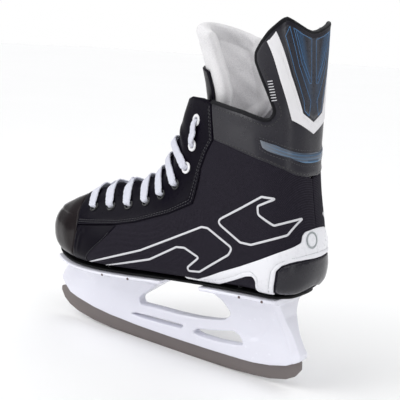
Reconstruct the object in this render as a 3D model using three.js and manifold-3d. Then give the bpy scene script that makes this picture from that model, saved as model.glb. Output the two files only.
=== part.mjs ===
// One hockey skate: a laced padded boot, its outsole, a plastic blade holder and a steel runner.
//
// Frame, in millimetres: the toe points along -X and the heel along +X, the outer (lateral) side of
// this left skate faces -Y, and +Z is up. The runner touches the ice at Z = 0.

import * as THREE from 'three';
import { mergeVertices } from 'three/addons/utils/BufferGeometryUtils.js';
import Module from 'manifold-3d';

const wasm = await Module();
wasm.setup();

// ---------------------------------------------------------------- driving dimensions

const FIT_GAP = 0.4;           // clearance between pieces that touch
const SHELL = 3.0;             // thickness of the stitched upper panels
const OVERLAY = 1.5;           // thickness of moulded and printed pieces on top of the panels
const LINING = 3.8;            // thickness of the felt lining
const OUTSOLE = 3.0;           // thickness of the outsole plate
const RUNNER_THICKNESS = 3.0;
const LACE_WIDTH = 7.0;
const LACE_THICKNESS = 1.3;
const LATERAL = -1;
const MEDIAL = 1;

// The boot form, toe to collar. Each station is a plane through a point on the sole-and-heel
// profile and a point on the instep-and-shin profile, and its outline there is a closed oval:
// [sole x, sole z, instep x, instep z, half width, height of the widest point (0..1),
//  squareness of the sole half, squareness of the instep half, sideways shift]
const FORM = [
  [-137.5, 93, -138, 101, 1.5, 0.50, 2.0, 2.0, 6],
  [-135, 84, -135.5, 108, 16.5, 0.48, 2.4, 2.0, 6],
  [-128, 77, -130, 115, 28.5, 0.45, 2.8, 2.1, 5],
  [-113.5, 73, -117, 121, 38.5, 0.42, 3.4, 2.1, 4],
  [-90, 71.5, -94, 132, 46, 0.38, 4.0, 1.95, 2],
  [-60, 72.5, -66, 142, 49, 0.36, 4.2, 1.8, 0],
  [-28, 74.5, -38, 149, 47, 0.35, 4.2, 1.75, 0],
  [4, 77, -16, 158, 43.5, 0.33, 4.2, 1.8, 0],
  [36, 79.5, -4, 169, 40.5, 0.30, 4.2, 1.95, 0],
  [68, 82, 3, 181, 39, 0.26, 4.2, 2.15, 0],
  [98, 84, 7, 193, 38, 0.22, 3.8, 2.3, 0],
  [123.5, 84.5, 10, 205, 37.5, 0.19, 3.4, 2.4, 0],
  [139, 89.5, 13, 217, 37, 0.20, 2.8, 2.5, 0],
  [143.3, 111, 17, 229, 36.5, 0.23, 2.3, 2.5, 0],
  [139.5, 137, 21, 241, 36, 0.27, 2.2, 2.5, 0],
  [134.5, 163, 25, 253, 36, 0.32, 2.3, 2.5, 0],
  [131, 190, 29, 264, 36, 0.38, 2.5, 2.4, 0],
  [129, 217, 33, 276, 36.5, 0.44, 3.0, 2.4, 0],
  [126.5, 244, 37, 288, 38, 0.48, 3.4, 2.3, 0],
  [124, 271, 41, 300, 41, 0.50, 3.8, 2.3, 0],
  [121.5, 300, 45, 312, 44, 0.50, 4.0, 2.3, 0],
];
const LAST_STATION = FORM.length - 1;
// Stations of the form's mesh rings: close together where the toe and the heel turn.
const FORM_RINGS = [0, 0.5, 1, 1.5, 2, 2.5, 3, 4, 5, 6, 7, 8, 9, 10, 10.5, 11, 11.5, 12, 12.5, 13, 14, 15, 16,
  17, 18, 19, 20];
const RING_SIDE = 9;           // mesh steps on each side of a ring

// Half width of the outsole plate at each station of the form, from the toe to the heel end.
const SOLE_WIDTH = [4, 15, 27, 36.5, 43.5, 45.5, 43.5, 39.5, 36.5, 35, 34, 29, 16];
const SOLE_START = 1;
const SOLE_END = 11.5;

// ---------------------------------------------------------------- small helpers

const v3 = (x, y, z) => new THREE.Vector3(x, y, z);

// Catmull-Rom interpolation through rows of numbers, at t rows from the start.
function interpolate(rows, t) {
  const last = rows.length - 1;
  const clamped = Math.min(Math.max(t, 0), last - 1e-9);
  const i = Math.floor(clamped);
  const u = clamped - i;
  const [a, b, c, d] = [i - 1, i, i + 1, i + 2].map((k) => rows[Math.min(Math.max(k, 0), last)]);
  return b.map((_, k) => 0.5 * (2 * b[k] + (c[k] - a[k]) * u
    + (2 * a[k] - 5 * b[k] + 4 * c[k] - d[k]) * u * u
    + (3 * b[k] - a[k] - 3 * c[k] + d[k]) * u ** 3));
}

const interpolateValue = (values, t) => interpolate(values.map((v) => [v]), t)[0];

function range(start, end, step) {
  const count = Math.max(1, Math.round((end - start) / step));
  return Array.from({ length: count + 1 }, (_, i) => start + ((end - start) * i) / count);
}

// The form's ring stations from start to end, with both ends.
const ringsBetween = (start, end) => [start, ...FORM_RINGS.filter((s) => s > start && s < end), end];

function geometryFrom(points, triangles) {
  const geometry = new THREE.BufferGeometry();
  geometry.setAttribute('position', new THREE.Float32BufferAttribute(points.flatMap((p) => p.toArray()), 3));
  geometry.setIndex(triangles.flat());
  return geometry;
}

// A closed geometry becomes a solid. A body wound inside out is turned the right way first.
function solid(geometry) {
  const bare = geometry.clone();
  bare.deleteAttribute('normal');
  bare.deleteAttribute('uv');
  const merged = mergeVertices(bare, 1e-4);
  const position = merged.getAttribute('position');
  const index = Array.from(merged.getIndex().array);
  let volume = 0;
  const [a, b, c] = [v3(), v3(), v3()];
  for (let i = 0; i < index.length; i += 3) {
    a.fromBufferAttribute(position, index[i]);
    b.fromBufferAttribute(position, index[i + 1]);
    c.fromBufferAttribute(position, index[i + 2]);
    volume += a.dot(b.cross(c));
  }
  if (volume < 0) index.reverse();
  const mesh = new wasm.Mesh({
    numProp: 3,
    vertProperties: new Float32Array(position.array),
    triVerts: new Uint32Array(index),
  });
  return new wasm.Manifold(mesh);
}

function geometryOf(manifold) {
  const mesh = manifold.getMesh();
  const geometry = new THREE.BufferGeometry();
  geometry.setAttribute('position', new THREE.BufferAttribute(new Float32Array(mesh.vertProperties), 3));
  geometry.setIndex(new THREE.BufferAttribute(new Uint32Array(mesh.triVerts), 1));
  return geometry;
}

// A body through closed rings of points, capped at both ends by a fan.
function ringBody(rings) {
  const size = rings[0].length;
  const points = rings.flat();
  const triangles = [];
  for (let i = 0; i + 1 < rings.length; i++) {
    for (let j = 0; j < size; j++) {
      const a = i * size + j;
      const b = i * size + ((j + 1) % size);
      triangles.push([a, b, b + size], [a, b + size, a + size]);
    }
  }
  [[0, false], [rings.length - 1, true]].forEach(([ring, forward]) => {
    const centre = points.length;
    points.push(rings[ring].reduce((sum, p) => sum.add(p), v3()).divideScalar(size));
    for (let j = 0; j < size; j++) {
      const pair = [ring * size + j, ring * size + ((j + 1) % size)];
      triangles.push(forward ? [...pair, centre] : [pair[1], pair[0], centre]);
    }
  });
  return geometryFrom(points, triangles);
}

// A sheet with thickness: outer and inner are the same grid of points, rows by columns.
function sheetBody(outer, inner) {
  const rows = outer.length;
  const columns = outer[0].length;
  const points = [...outer.flat(), ...inner.flat()];
  const shift = rows * columns;
  const at = (i, j) => i * columns + j;
  const triangles = [];
  const quad = (a, b, c, d) => triangles.push([a, b, c], [a, c, d]);
  for (let i = 0; i + 1 < rows; i++) {
    for (let j = 0; j + 1 < columns; j++) {
      quad(at(i, j), at(i + 1, j), at(i + 1, j + 1), at(i, j + 1));
      quad(at(i, j) + shift, at(i, j + 1) + shift, at(i + 1, j + 1) + shift, at(i + 1, j) + shift);
    }
    quad(at(i, 0), at(i, 0) + shift, at(i + 1, 0) + shift, at(i + 1, 0));
    const [a, b] = [at(i, columns - 1), at(i + 1, columns - 1)];
    quad(a, b, b + shift, a + shift);
  }
  for (let j = 0; j + 1 < columns; j++) {
    quad(at(0, j), at(0, j + 1), at(0, j + 1) + shift, at(0, j) + shift);
    const [a, b] = [at(rows - 1, j), at(rows - 1, j + 1)];
    quad(a, a + shift, b + shift, b);
  }
  return geometryFrom(points, triangles);
}

// A closed outline of [u, v, corner radius] points as a shape with rounded corners.
function roundedShape(outline) {
  const shape = new THREE.Shape();
  const points = outline.map(([x, y]) => new THREE.Vector2(x, y));
  points.forEach((corner, i) => {
    const radius = outline[i][2] ?? 0;
    const before = points[(i + points.length - 1) % points.length];
    const after = points[(i + 1) % points.length];
    const start = corner.clone().add(before.clone().sub(corner).setLength(radius));
    const end = corner.clone().add(after.clone().sub(corner).setLength(radius));
    if (i === 0) shape.moveTo(start.x, start.y);
    else shape.lineTo(start.x, start.y);
    if (radius > 0) shape.quadraticCurveTo(corner.x, corner.y, end.x, end.y);
  });
  shape.closePath();
  return shape;
}

// An outline seen from the side (x, z), as a prism from y0 to y1.
function sidePrism(outline, y0, y1, curveSegments = 3) {
  const geometry = new THREE.ExtrudeGeometry(roundedShape(outline), {
    depth: y1 - y0, bevelEnabled: false, curveSegments, steps: 1,
  });
  geometry.rotateX(Math.PI / 2);
  geometry.translate(0, y1, 0);
  return solid(geometry);
}

// An outline seen from behind (y, z), as a prism from x0 to x1.
function rearPrism(outline, x0, x1, curveSegments = 3) {
  const geometry = new THREE.ExtrudeGeometry(roundedShape(outline), {
    depth: x1 - x0, bevelEnabled: false, curveSegments, steps: 1,
  });
  geometry.applyMatrix4(new THREE.Matrix4().set(0, 0, 1, x0, 1, 0, 0, 0, 0, 1, 0, 0, 0, 0, 0, 1));
  return solid(geometry);
}

// ---------------------------------------------------------------- the boot form

// Inward direction, in the x-z plane, of the profile through columns (x, z) of the form.
function profileInward(s, column, sense) {
  const ahead = interpolate(FORM, Math.min(s + 0.05, LAST_STATION));
  const behind = interpolate(FORM, Math.max(s - 0.05, 0));
  const dx = ahead[column] - behind[column];
  const dz = ahead[column + 1] - behind[column + 1];
  const length = Math.hypot(dx, dz);
  return [(-dz * sense) / length, (dx * sense) / length];
}

// The section at station s, with its surface moved inward by depth.
function section(s, depth) {
  const [bx, bz, tx, tz, width, middle, squareLow, squareHigh, shift] = interpolate(FORM, s);
  const [nbx, nbz] = profileInward(s, 0, 1);
  const [ntx, ntz] = profileInward(s, 2, -1);
  return {
    sole: [bx + nbx * depth, bz + nbz * depth],
    instep: [tx + ntx * depth, tz + ntz * depth],
    width: Math.max(width - depth, 0.4),
    middle, squareLow, squareHigh, shift,
  };
}

// A point of the form: angle 0 is on the sole-and-heel profile and pi on the instep profile.
function formPoint(s, angle, side, depth = 0) {
  const cut = section(s, depth);
  const cosine = Math.cos(angle);
  const power = 2 / (cosine > 0 ? cut.squareLow : cut.squareHigh);
  const along = Math.abs(cosine) ** power;
  const height = cosine > 0 ? cut.middle * (1 - along) : cut.middle + (1 - cut.middle) * along;
  const out = Math.max(Math.sin(angle), 0) ** power;
  return v3(
    cut.sole[0] + (cut.instep[0] - cut.sole[0]) * height,
    cut.shift + side * cut.width * out,
    cut.sole[1] + (cut.instep[1] - cut.sole[1]) * height,
  );
}

function formNormal(s, angle, side) {
  const h = 0.04;
  const alongS = formPoint(s + h, angle, side).sub(formPoint(s - h, angle, side));
  const alongAngle = formPoint(s, angle + h, side).sub(formPoint(s, angle - h, side));
  return alongS.cross(alongAngle).multiplyScalar(-side).normalize();
}

// The whole form as one closed body, with its surface moved inward by depth.
function formBody(depth) {
  const rings = FORM_RINGS.map((s) => {
    const angles = range(0, Math.PI, Math.PI / RING_SIDE);
    const lateral = angles.map((a) => formPoint(s, a, LATERAL, depth));
    const medial = angles.slice(1, -1).reverse().map((a) => formPoint(s, a, MEDIAL, depth));
    return [...lateral, ...medial];
  });
  return solid(ringBody(rings));
}

// A shell between two depths. Its collar end is open, because the inner body is stretched upward.
function formShell(outerDepth, innerDepth) {
  return formBody(outerDepth).subtract(formBody(innerDepth));
}

// The lacing gap at the front of the boot, down to a depth below the surface.
function throatCutter(halfGap, start, end, depth) {
  const rings = ringsBetween(start, end).map((s) => {
    const deep = section(s, depth);
    const proud = section(s, -6);
    const gap = halfGap(s);
    return [
      v3(proud.instep[0], -gap, proud.instep[1]), v3(proud.instep[0], gap, proud.instep[1]),
      v3(deep.instep[0], gap, deep.instep[1]), v3(deep.instep[0], -gap, deep.instep[1]),
    ];
  });
  return solid(ringBody(rings));
}

// A sheet over the front of the form, as far down each side as the angle says, between two depths.
function frontSheet(stations, sideAngle, outerDepth, innerDepth, steps = 4) {
  const grid = (depth) => stations.map((s) => {
    const angles = range(sideAngle(s), Math.PI, (Math.PI - sideAngle(s)) / steps);
    const lateral = angles.map((a) => formPoint(s, a, LATERAL, depth(s)));
    const medial = reversed(angles).slice(1).map((a) => formPoint(s, a, MEDIAL, depth(s)));
    return [...lateral, ...medial];
  });
  return sheetBody(grid(outerDepth), grid(innerDepth));
}

// ---------------------------------------------------------------- panel outlines, side view (x, z)

const TOE_SEAM = [[-100, 150], [-97, 131], [-87, 126], [-79, 113], [-76.5, 103], [-79, 88], [-86, 72], [-90, 60]];
const FACING_LOWER_SEAM = [[-76.5, 108.5], [-32, 116], [-13, 121], [21, 134], [44, 146]];
const FACING_REAR_SEAM = [[44.5, 157], [48, 176], [53, 190], [59, 200], [56.5, 216], [54.5, 229.5]];
const FACING_TOP = [[40, 231.5], [30, 231.5], [22.5, 228.5], [18, 223], [15, 214]];
const TOE_PATCH_SEAM = [[-32, 115], [-40, 105], [-60, 85], [-68, 74], [-72, 60]];
const COLLAR_TOP = [[54.5, 229.5], [71, 227], [87, 224.5], [100, 221.5], [108, 220.5], [113, 221.5], [115.5, 224.5]];
const COLLAR_SEAM = [[59, 200], [80, 196], [97, 192], [112, 188.5], [123, 184], [133, 177], [150, 172]];
const GUARD_BASE = [[115.5, 224.5], [131, 208.5], [150, 192]];
const GUARD_FRONT = [[116, 228], [110, 240], [103, 254], [98.5, 264], [98.5, 270], [103, 277], [109, 285],
  [114, 290.5], [118, 295], [127, 300.5], [150, 300.5]];

// The same seam moved by the panel gap, so that the panels on its two sides stay apart.
const moved = (seam, dx, dz) => seam.map(([x, z]) => [x + dx, z + dz]);
const reversed = (seam) => [...seam].reverse();
const SEAM_GAP = 0.5;
const FAR = 80;                // half length of a cutter that spans the boot

function facingHalfGap(s) {
  return THREE.MathUtils.mapLinear(s, 4.5, 14, 9, 20);
}

// Mesh step at which a cutter covers one side only, or both.
const spans = { [LATERAL]: [-FAR, -0.3], [MEDIAL]: [0.3, FAR] };

// ---------------------------------------------------------------- outsole, board and footbed

// A plate that follows the sole profile between two heights above it.
function solePlate(low, high, inset, start, end) {
  const stations = ringsBetween(start, end);
  const grid = (height) => stations.map((s) => {
    const [x, z, , , , , , , shift] = interpolate(FORM, s);
    const half = Math.max(interpolateValue(SOLE_WIDTH, s) - inset, 1);
    return [-1, -0.5, 0.5, 1].map((k) => v3(x, shift + k * half, z + height));
  });
  return solid(sheetBody(grid(high), grid(low)));
}

const soleHeight = (x) => {
  const stations = range(0, 12, 0.05).map((s) => interpolate(FORM, s));
  const nearest = stations.reduce((best, row) => (Math.abs(row[0] - x) < Math.abs(best[0] - x) ? row : best));
  return nearest[1];
};

// ---------------------------------------------------------------- holder and runner

const RUNNER_BOTTOM = [[-141, 23], [-136.5, 16], [-129, 10.6], [-117, 6.2], [-95, 2.4], [-70, 0.7], [-40, 0.1],
  [-25, 0], [25, 0], [45, 0.2], [70, 0.8], [93, 2.2], [109, 4.2], [124, 8], [132, 12.5], [137, 19.5]];
const RUNNER_TOP = [[-141, 27.5], [-129, 23], [-118, 19.7], [-96, 15.4], [-74, 13.1], [-43, 11.9], [0, 11.4],
  [42, 11.6], [68, 12.2], [92, 13.7], [108, 16], [123, 20], [131, 23], [136.5, 25.5]];
const RUNNER_ROOT = 7;         // height of the part of the runner that sits inside the holder

function runnerBody() {
  const visible = sidePrism([...RUNNER_BOTTOM, ...reversed(RUNNER_TOP)], -RUNNER_THICKNESS / 2, RUNNER_THICKNESS / 2);
  return visible.add(runnerRoot(0));
}

// The root rises into the holder's slot; the slot is the same shape with the fit gap round it.
function runnerRoot(gap) {
  const ends = RUNNER_TOP.slice(1, -1);
  const half = RUNNER_THICKNESS / 2 + gap;
  const outline = [...moved(ends, 0, -1), ...reversed(moved(ends, 0, RUNNER_ROOT + gap))];
  return sidePrism(outline, -half, half);
}

const HOLDER_OUTLINE = [
  [-135.5, 31, 2], [-138, 38, 3], [-131, 47], [-123, 56], [-117, 76], [124, 90, 0], [122, 72], [123.5, 62], [129, 50],
  [133.5, 41], [138.8, 32.5, 3], [138.5, 27.2, 2],
];
const WINDOW = [[9, 70], [-5, 64.5], [-16, 57, 5], [-37.5, 41, 3], [-36, 34.8, 2.5], [-15, 35.9], [8, 36.6], [30, 38.4],
  [47, 41], [59, 43.8, 5], [67.5, 50.8, 4], [60, 61], [52, 71], [49, 90], [15, 90], [12, 75]];
const FRONT_SLOT = [[-46, 22.6, 1], [-30, 22.2], [-8, 22.8], [14, 24.2, 1], [17.5, 27.6, 1], [0, 27.4], [-20, 26.4],
  [-40, 24.8, 0.8]];
const REAR_SLOT = [[26, 24, 2], [34, 22.6], [53, 22.8], [72, 25], [81, 27.5, 1], [76, 34.2, 3], [69, 36.4, 3], [50, 31.8],
  [32, 28.4, 2]];

// Width of the holder: slim above the runner, flared to the flange that carries the outsole. Its
// rings stand at the outsole's own stations, so that the two faces run parallel.
function holderEnvelope() {
  const ring = (x, top, half, shift) => {
    const profile = [[5, 8], [5.2, 34], [7.5, 44], [12, 53], [0.55 * half, top - 9], [half, top - 4], [half, top]];
    const lean = (z) => shift * (z / top) ** 3;
    const near = profile.map(([y, z]) => v3(x, lean(z) - y, z));
    const far = reversed(profile).map(([y, z]) => v3(x, lean(z) + y, z));
    return [...near, ...far];
  };
  const drop = OUTSOLE + 2 * FIT_GAP;
  const rings = ringsBetween(SOLE_START + 1, SOLE_END - 0.5).map((s) => {
    const [x, z, , , , , , , shift] = interpolate(FORM, s);
    return ring(x, z - drop, Math.max(interpolateValue(SOLE_WIDTH, s) - 3, 10), shift);
  });
  const front = ring(-142, soleHeight(-128) - drop, 18, 4);
  const back = ring(146, soleHeight(122) - drop, 16, 0);
  return solid(ringBody([front, ...rings, back]));
}

function stationAt(x) {
  const stations = range(0, 12, 0.05);
  return stations.reduce((best, s) => (Math.abs(interpolate(FORM, s)[0] - x)
    < Math.abs(interpolate(FORM, best)[0] - x) ? s : best));
}

// ---------------------------------------------------------------- rivets

const RIVET = { shank: 2, head: 3.6, headHeight: 1.2, clinch: 3.2, seatDepth: 4.2 };
const RIVET_PLACES = [
  [-108, 22], [-80, 31], [-48, 32],
  [88, 23], [110, 19],
].flatMap(([x, y]) => [[x, -y], [x, y]]);

function rivetPlace([x, y]) {
  const s = stationAt(x);
  const row = interpolate(FORM, s);
  return v3(row[0], y + row[8], row[1]);
}

function cylinder(radius, bottom, height, at, segments = 6) {
  const geometry = new THREE.CylinderGeometry(radius, radius, height, segments);
  geometry.rotateX(Math.PI / 2);
  geometry.translate(at.x, at.y, at.z + bottom + height / 2);
  return solid(geometry);
}

const BOARD = { low: 0.4, high: 3.0 };
const RIVET_BASE = -(OUTSOLE + 3 * FIT_GAP + RIVET.seatDepth);

function rivetGeometry() {
  const top = BOARD.high + 2 * FIT_GAP;
  const points = [
    [0, RIVET_BASE - RIVET.headHeight], [RIVET.head, RIVET_BASE - 0.4], [RIVET.head, RIVET_BASE],
    [RIVET.shank, RIVET_BASE], [RIVET.shank, top], [RIVET.clinch, top], [0, top + 0.9],
  ].map(([r, z]) => new THREE.Vector2(r, z));
  const geometry = new THREE.LatheGeometry(points, 6);
  geometry.rotateX(Math.PI / 2);
  return geometry;
}

// ---------------------------------------------------------------- eyelets and lace

const EYELET_STATIONS = [13.2, 11.9, 10.5, 9.25, 8.1, 7.15, 6.35, 5.65, 5.0];
const EYELET_ANGLE = [2.42, 2.38, 2.32, 2.26, 2.27, 2.28, 2.28, 2.28, 2.27];
const EYELET = { bore: 2.5, barrel: 3.2, flange: 4.8, lift: 0.8 };
const UPPER_EYELETS = 3;       // the top pairs have bright rings, the others black ones

function eyeletPlace(index, side) {
  const s = EYELET_STATIONS[index];
  const angle = EYELET_ANGLE[index];
  return { point: formPoint(s, angle, side), normal: formNormal(s, angle, side) };
}

function eyeletGeometry() {
  const { bore, barrel, flange, lift } = EYELET;
  const low = -SHELL - 0.6;
  const profile = [[bore, low], [barrel, low], [barrel, lift], [flange, lift], [flange - 1, lift + 0.9],
    [bore, lift + 0.6], [bore, low]].map(([r, y]) => new THREE.Vector2(r, y));
  return new THREE.LatheGeometry(profile, 7);
}

function eyeletHole(index, side) {
  const { point, normal } = eyeletPlace(index, side);
  const geometry = new THREE.CylinderGeometry(EYELET.barrel + FIT_GAP, EYELET.barrel + FIT_GAP, 14, 7);
  geometry.applyQuaternion(new THREE.Quaternion().setFromUnitVectors(v3(0, 1, 0), normal));
  geometry.translate(point.x, point.y, point.z);
  return solid(geometry);
}

// A point on the crest between two eyelet rows: s is the station, across goes from -1 (lateral
// throat edge) to 1 (medial throat edge), and height is above the panel surface.
function crestPoint(s, across, height) {
  const cut = section(s, -height);
  return v3(cut.instep[0], across * facingHalfGap(s), cut.instep[1]);
}

// A point on the facing between the eyelet and the throat edge, at a height above its surface.
function facingPoint(index, side, share, height) {
  const s = EYELET_STATIONS[index];
  const angle = THREE.MathUtils.lerp(EYELET_ANGLE[index], Math.PI - 0.32, share);
  return formPoint(s, angle, side, -height);
}

// The lace runs out of each eyelet, over its facing, across the tongue, under the other facing and
// up through the next eyelet there. Each node is [point, width of the lace there, way its flat side
// faces]; inside an eyelet the flat side keeps the way it had.
function laceStrand(index, side, crossing) {
  const next = index - 1;
  const here = eyeletPlace(index, side);
  const there = eyeletPlace(next, -side);
  const middle = (EYELET_STATIONS[index] + EYELET_STATIONS[next]) / 2;
  const raise = (height) => here.point.clone().addScaledVector(here.normal, height);
  const inward = facingPoint(index, side, 0.5, 0).sub(here.point).normalize();
  const upward = v3(-0.75, 0, 0.66);
  return [
    [raise(-2.4), 3], [raise(1), 3], [raise(3.1).addScaledVector(inward, 1.4), 3.6],
    [raise(3.4).addScaledVector(inward, 6), 6, here.normal],
    [facingPoint(index, side, 0.75, 3.2), LACE_WIDTH, formNormal(middle, 2.6, side)],
    [crestPoint(middle - 0.2, side * 0.75, 2.9), LACE_WIDTH, upward],
    [crestPoint(middle, 0, crossing), LACE_WIDTH, upward],
    [crestPoint(middle + 0.2, -side * 0.7, -6.4), LACE_WIDTH, upward],
    [facingPoint(next, -side, 0.62, -5.8), LACE_WIDTH, formNormal(middle, 2.6, -side)],
    [facingPoint(next, -side, 0.2, -6), 5, there.normal],
    [there.point.clone().addScaledVector(there.normal, -5.4), 3],
  ];
}

function laceSide(startSide) {
  const nodes = [];
  let side = startSide;
  for (let index = EYELET_STATIONS.length - 1; index > 1; index--) {
    nodes.push(...laceStrand(index, side, side === LATERAL ? 0.4 : -3.2));
    side = -side;
  }
  const [top, second] = [eyeletPlace(0, side), eyeletPlace(1, side)];
  const lift = (place, height) => place.point.clone().addScaledVector(place.normal, height);
  const between = (share, height) => formPoint(
    THREE.MathUtils.lerp(EYELET_STATIONS[1], EYELET_STATIONS[0], share),
    THREE.MathUtils.lerp(EYELET_ANGLE[1], EYELET_ANGLE[0], share), side, -height,
  );
  nodes.push(
    [lift(second, -2.4), 3], [lift(second, 1), 3], [between(0.1, 3.5), 4, second.normal],
    [between(0.3, 3.6), 5.5, second.normal], [between(0.5, 2.8), 6, second.normal],
    [between(0.7, 3.6), 5.5, top.normal], [between(0.9, 3.3), 4, top.normal],
    [lift(top, 1), 3], [lift(top, -2.4), 3], [lift(top, -5.4), 3],
    [formPoint(EYELET_STATIONS[0] - 0.4, EYELET_ANGLE[0] + 0.1, side, 6.4), 5, top.normal],
    [formPoint(EYELET_STATIONS[0] - 1.1, EYELET_ANGLE[0] + 0.2, side, 6), 5, top.normal],
  );
  return nodes;
}

function laceGeometry() {
  const bottom = EYELET_STATIONS.length - 1;
  const bar = [-1, -0.5, 0, 0.5, 1].map((across) => (Math.abs(across) === 1
    ? [facingPoint(bottom, across, 0.4, -6), LACE_WIDTH, formNormal(EYELET_STATIONS[bottom], 2.6, across)]
    : [crestPoint(EYELET_STATIONS[bottom], across * 1.6, -5.8), LACE_WIDTH, v3(-0.5, across, 0.8)]));
  const below = (side) => {
    const { point, normal } = eyeletPlace(bottom, side);
    return [point.clone().addScaledVector(normal, -5.4), 3];
  };
  const nodes = [
    ...reversed(laceSide(LATERAL)), below(LATERAL), ...bar, below(MEDIAL), ...laceSide(MEDIAL),
  ];
  return ribbonBody(nodes);
}

// A flat ribbon through nodes of [point, width, way the flat side faces].
function ribbonBody(nodes) {
  let across = v3(0.7, 0, 0.7);
  const rings = nodes.map(([point, width, facing], i) => {
    const before = nodes[Math.max(i - 1, 0)][0];
    const after = nodes[Math.min(i + 1, nodes.length - 1)][0];
    const tangent = after.clone().sub(before).normalize();
    const wanted = facing ? tangent.clone().cross(facing) : across.clone();
    if (wanted.dot(across) < 0) wanted.negate();
    across = wanted.addScaledVector(tangent, -wanted.dot(tangent)).normalize();
    const thick = tangent.clone().cross(across);
    const corner = (a, b) => point.clone().addScaledVector(across, (a * width) / 2)
      .addScaledVector(thick, (b * LACE_THICKNESS) / 2);
    return [corner(-1, -1), corner(1, -1), corner(1, 1), corner(-1, 1)];
  });
  return ringBody(rings);
}

// ---------------------------------------------------------------- tongue

// The lower tongue lies under the facings and the lace, at an even depth below the form.
const TONGUE_SHELL = 2.2;
const TONGUE_FELT = 6;
const TONGUE_DEPTH = 9;
const TONGUE_START = 4.3;
const TONGUE_FOLD = 12.4;      // station where the free flap begins, above the lace's last crossing

function lowerTongue(outer, inner, narrower) {
  const stations = range(TONGUE_START, TONGUE_FOLD, 0.9);
  const sideAngle = (s) => THREE.MathUtils.mapLinear(s, TONGUE_START, TONGUE_FOLD, 2.45, 2.3) + narrower;
  const sunk = (s) => 5 * THREE.MathUtils.smoothstep(s, 10, TONGUE_FOLD);
  return frontSheet(stations, sideAngle, (s) => outer + sunk(s), (s) => inner + sunk(s));
}

// The free flap of the tongue: [front x, front z, half width, how far it wraps back round the shin].
const FLAP = [[32.5, 226, 23, 36], [31.5, 240, 26.5, 42], [28.5, 255, 30, 41], [24.5, 270, 33, 37], [21, 281, 35, 35],
  [18, 289.5, 36, 34]];
const FLAP_SWEEP = 0.47 * Math.PI;
const FLAP_FALL = 0.2;         // how much lower the sides are, for each step that they wrap back
const LEATHER_ROWS = 2;        // the leather face ends this many rows up; above, the felt is bare
const LEATHER_SPAN = 0.6;      // and this share of the way round

function flapPoint(t, across, depth) {
  const [x, z, half, wrap] = interpolate(FLAP, t);
  const ahead = interpolate(FLAP, Math.min(t + 0.1, FLAP.length - 1));
  const behind = interpolate(FLAP, Math.max(t - 0.1, 0));
  const tangent = v3(ahead[0] - behind[0], 0, ahead[1] - behind[1]).normalize();
  const inward = v3(tangent.z, 0, -tangent.x);
  const angle = across * FLAP_SWEEP;
  const back = (wrap - depth * 0.4) * (1 - Math.cos(angle));
  return v3(x + back, (half - depth) * Math.sin(angle), z - back * FLAP_FALL).addScaledVector(inward, depth);
}

function flapBody(outerDepth, innerDepth, edge, lastRow) {
  const grid = (depth) => range(0, lastRow, 1).map((t) => range(-edge, edge, edge / 6)
    .map((across) => flapPoint(t, across, depth)));
  return sheetBody(grid(outerDepth), grid(innerDepth));
}

// ---------------------------------------------------------------- assembly

const skate = new THREE.Group();

function addPiece(name, shape, color, roughness = 0.6, metalness = 0) {
  const geometry = shape.isBufferGeometry ? shape : geometryOf(shape);
  const mesh = new THREE.Mesh(geometry, new THREE.MeshStandardMaterial({ color, roughness, metalness }));
  mesh.name = name;
  skate.add(mesh);
  return mesh;
}

const COLORS = {
  steel: 0x857b7b, whitePlastic: 0xe6e6ef, blackRubber: 0x1d1c20, blackLeather: 0x1a181e, textile: 0x37353c,
  collar: 0x3c3b42, insert: 0x7a8494, navy: 0x1b2740, white: 0xf2f2f4, felt: 0xe9e7e6, chrome: 0xd8dade,
  board: 0x9b7a55, footbed: 0x4a4a50, lace: 0xf0f1f6,
};

function sideName(side) {
  return side === LATERAL ? 'lateral' : 'medial';
}

function addRunnerAndHolder() {
  addPiece('runner', runnerBody(), COLORS.steel, 0.35, 0.9);
  const outline = [...HOLDER_OUTLINE, ...reversed(moved(RUNNER_TOP.slice(0, -1), 0, FIT_GAP))];
  let holder = sidePrism(outline, -FAR, FAR).intersect(holderEnvelope());
  [WINDOW, FRONT_SLOT, REAR_SLOT].forEach((hole) => {
    holder = holder.subtract(sidePrism(hole, -FAR, FAR));
  });
  holder = holder.subtract(runnerRoot(FIT_GAP));
  RIVET_PLACES.map(rivetPlace).forEach((at) => {
    holder = holder.subtract(cylinder(RIVET.shank + FIT_GAP, RIVET_BASE - 2, 20, at));
    holder = holder.subtract(cylinder(RIVET.head + 0.8, RIVET_BASE - 20 + FIT_GAP / 2, 20, at));
  });
  addPiece('holder', holder, COLORS.whitePlastic, 0.25);
}

function addSoleParts() {
  let outsole = solePlate(-OUTSOLE - FIT_GAP, -FIT_GAP, 0, SOLE_START, SOLE_END);
  let board = solePlate(BOARD.low, BOARD.high, 8.5, 2, 11);
  RIVET_PLACES.map(rivetPlace).forEach((at) => {
    const hole = cylinder(RIVET.shank + FIT_GAP, -8, 16, at);
    outsole = outsole.subtract(hole);
    board = board.subtract(hole);
  });
  addPiece('outsole', outsole, COLORS.blackRubber, 0.5);
  addPiece('insole_board', board, COLORS.board, 0.8);
  addPiece('footbed', solePlate(4.8, 9, 13, 2.5, 10.5), COLORS.footbed, 0.9);
  RIVET_PLACES.map(rivetPlace).forEach((at, i) => {
    const zone = at.x < 0 ? 'front' : 'rear';
    const rivet = addPiece(`${zone}_rivet_${zone === 'front' ? i + 1 : i - 5}`, rivetGeometry(), COLORS.chrome, 0.35, 0.9);
    rivet.position.copy(at);
  });
}

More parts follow.
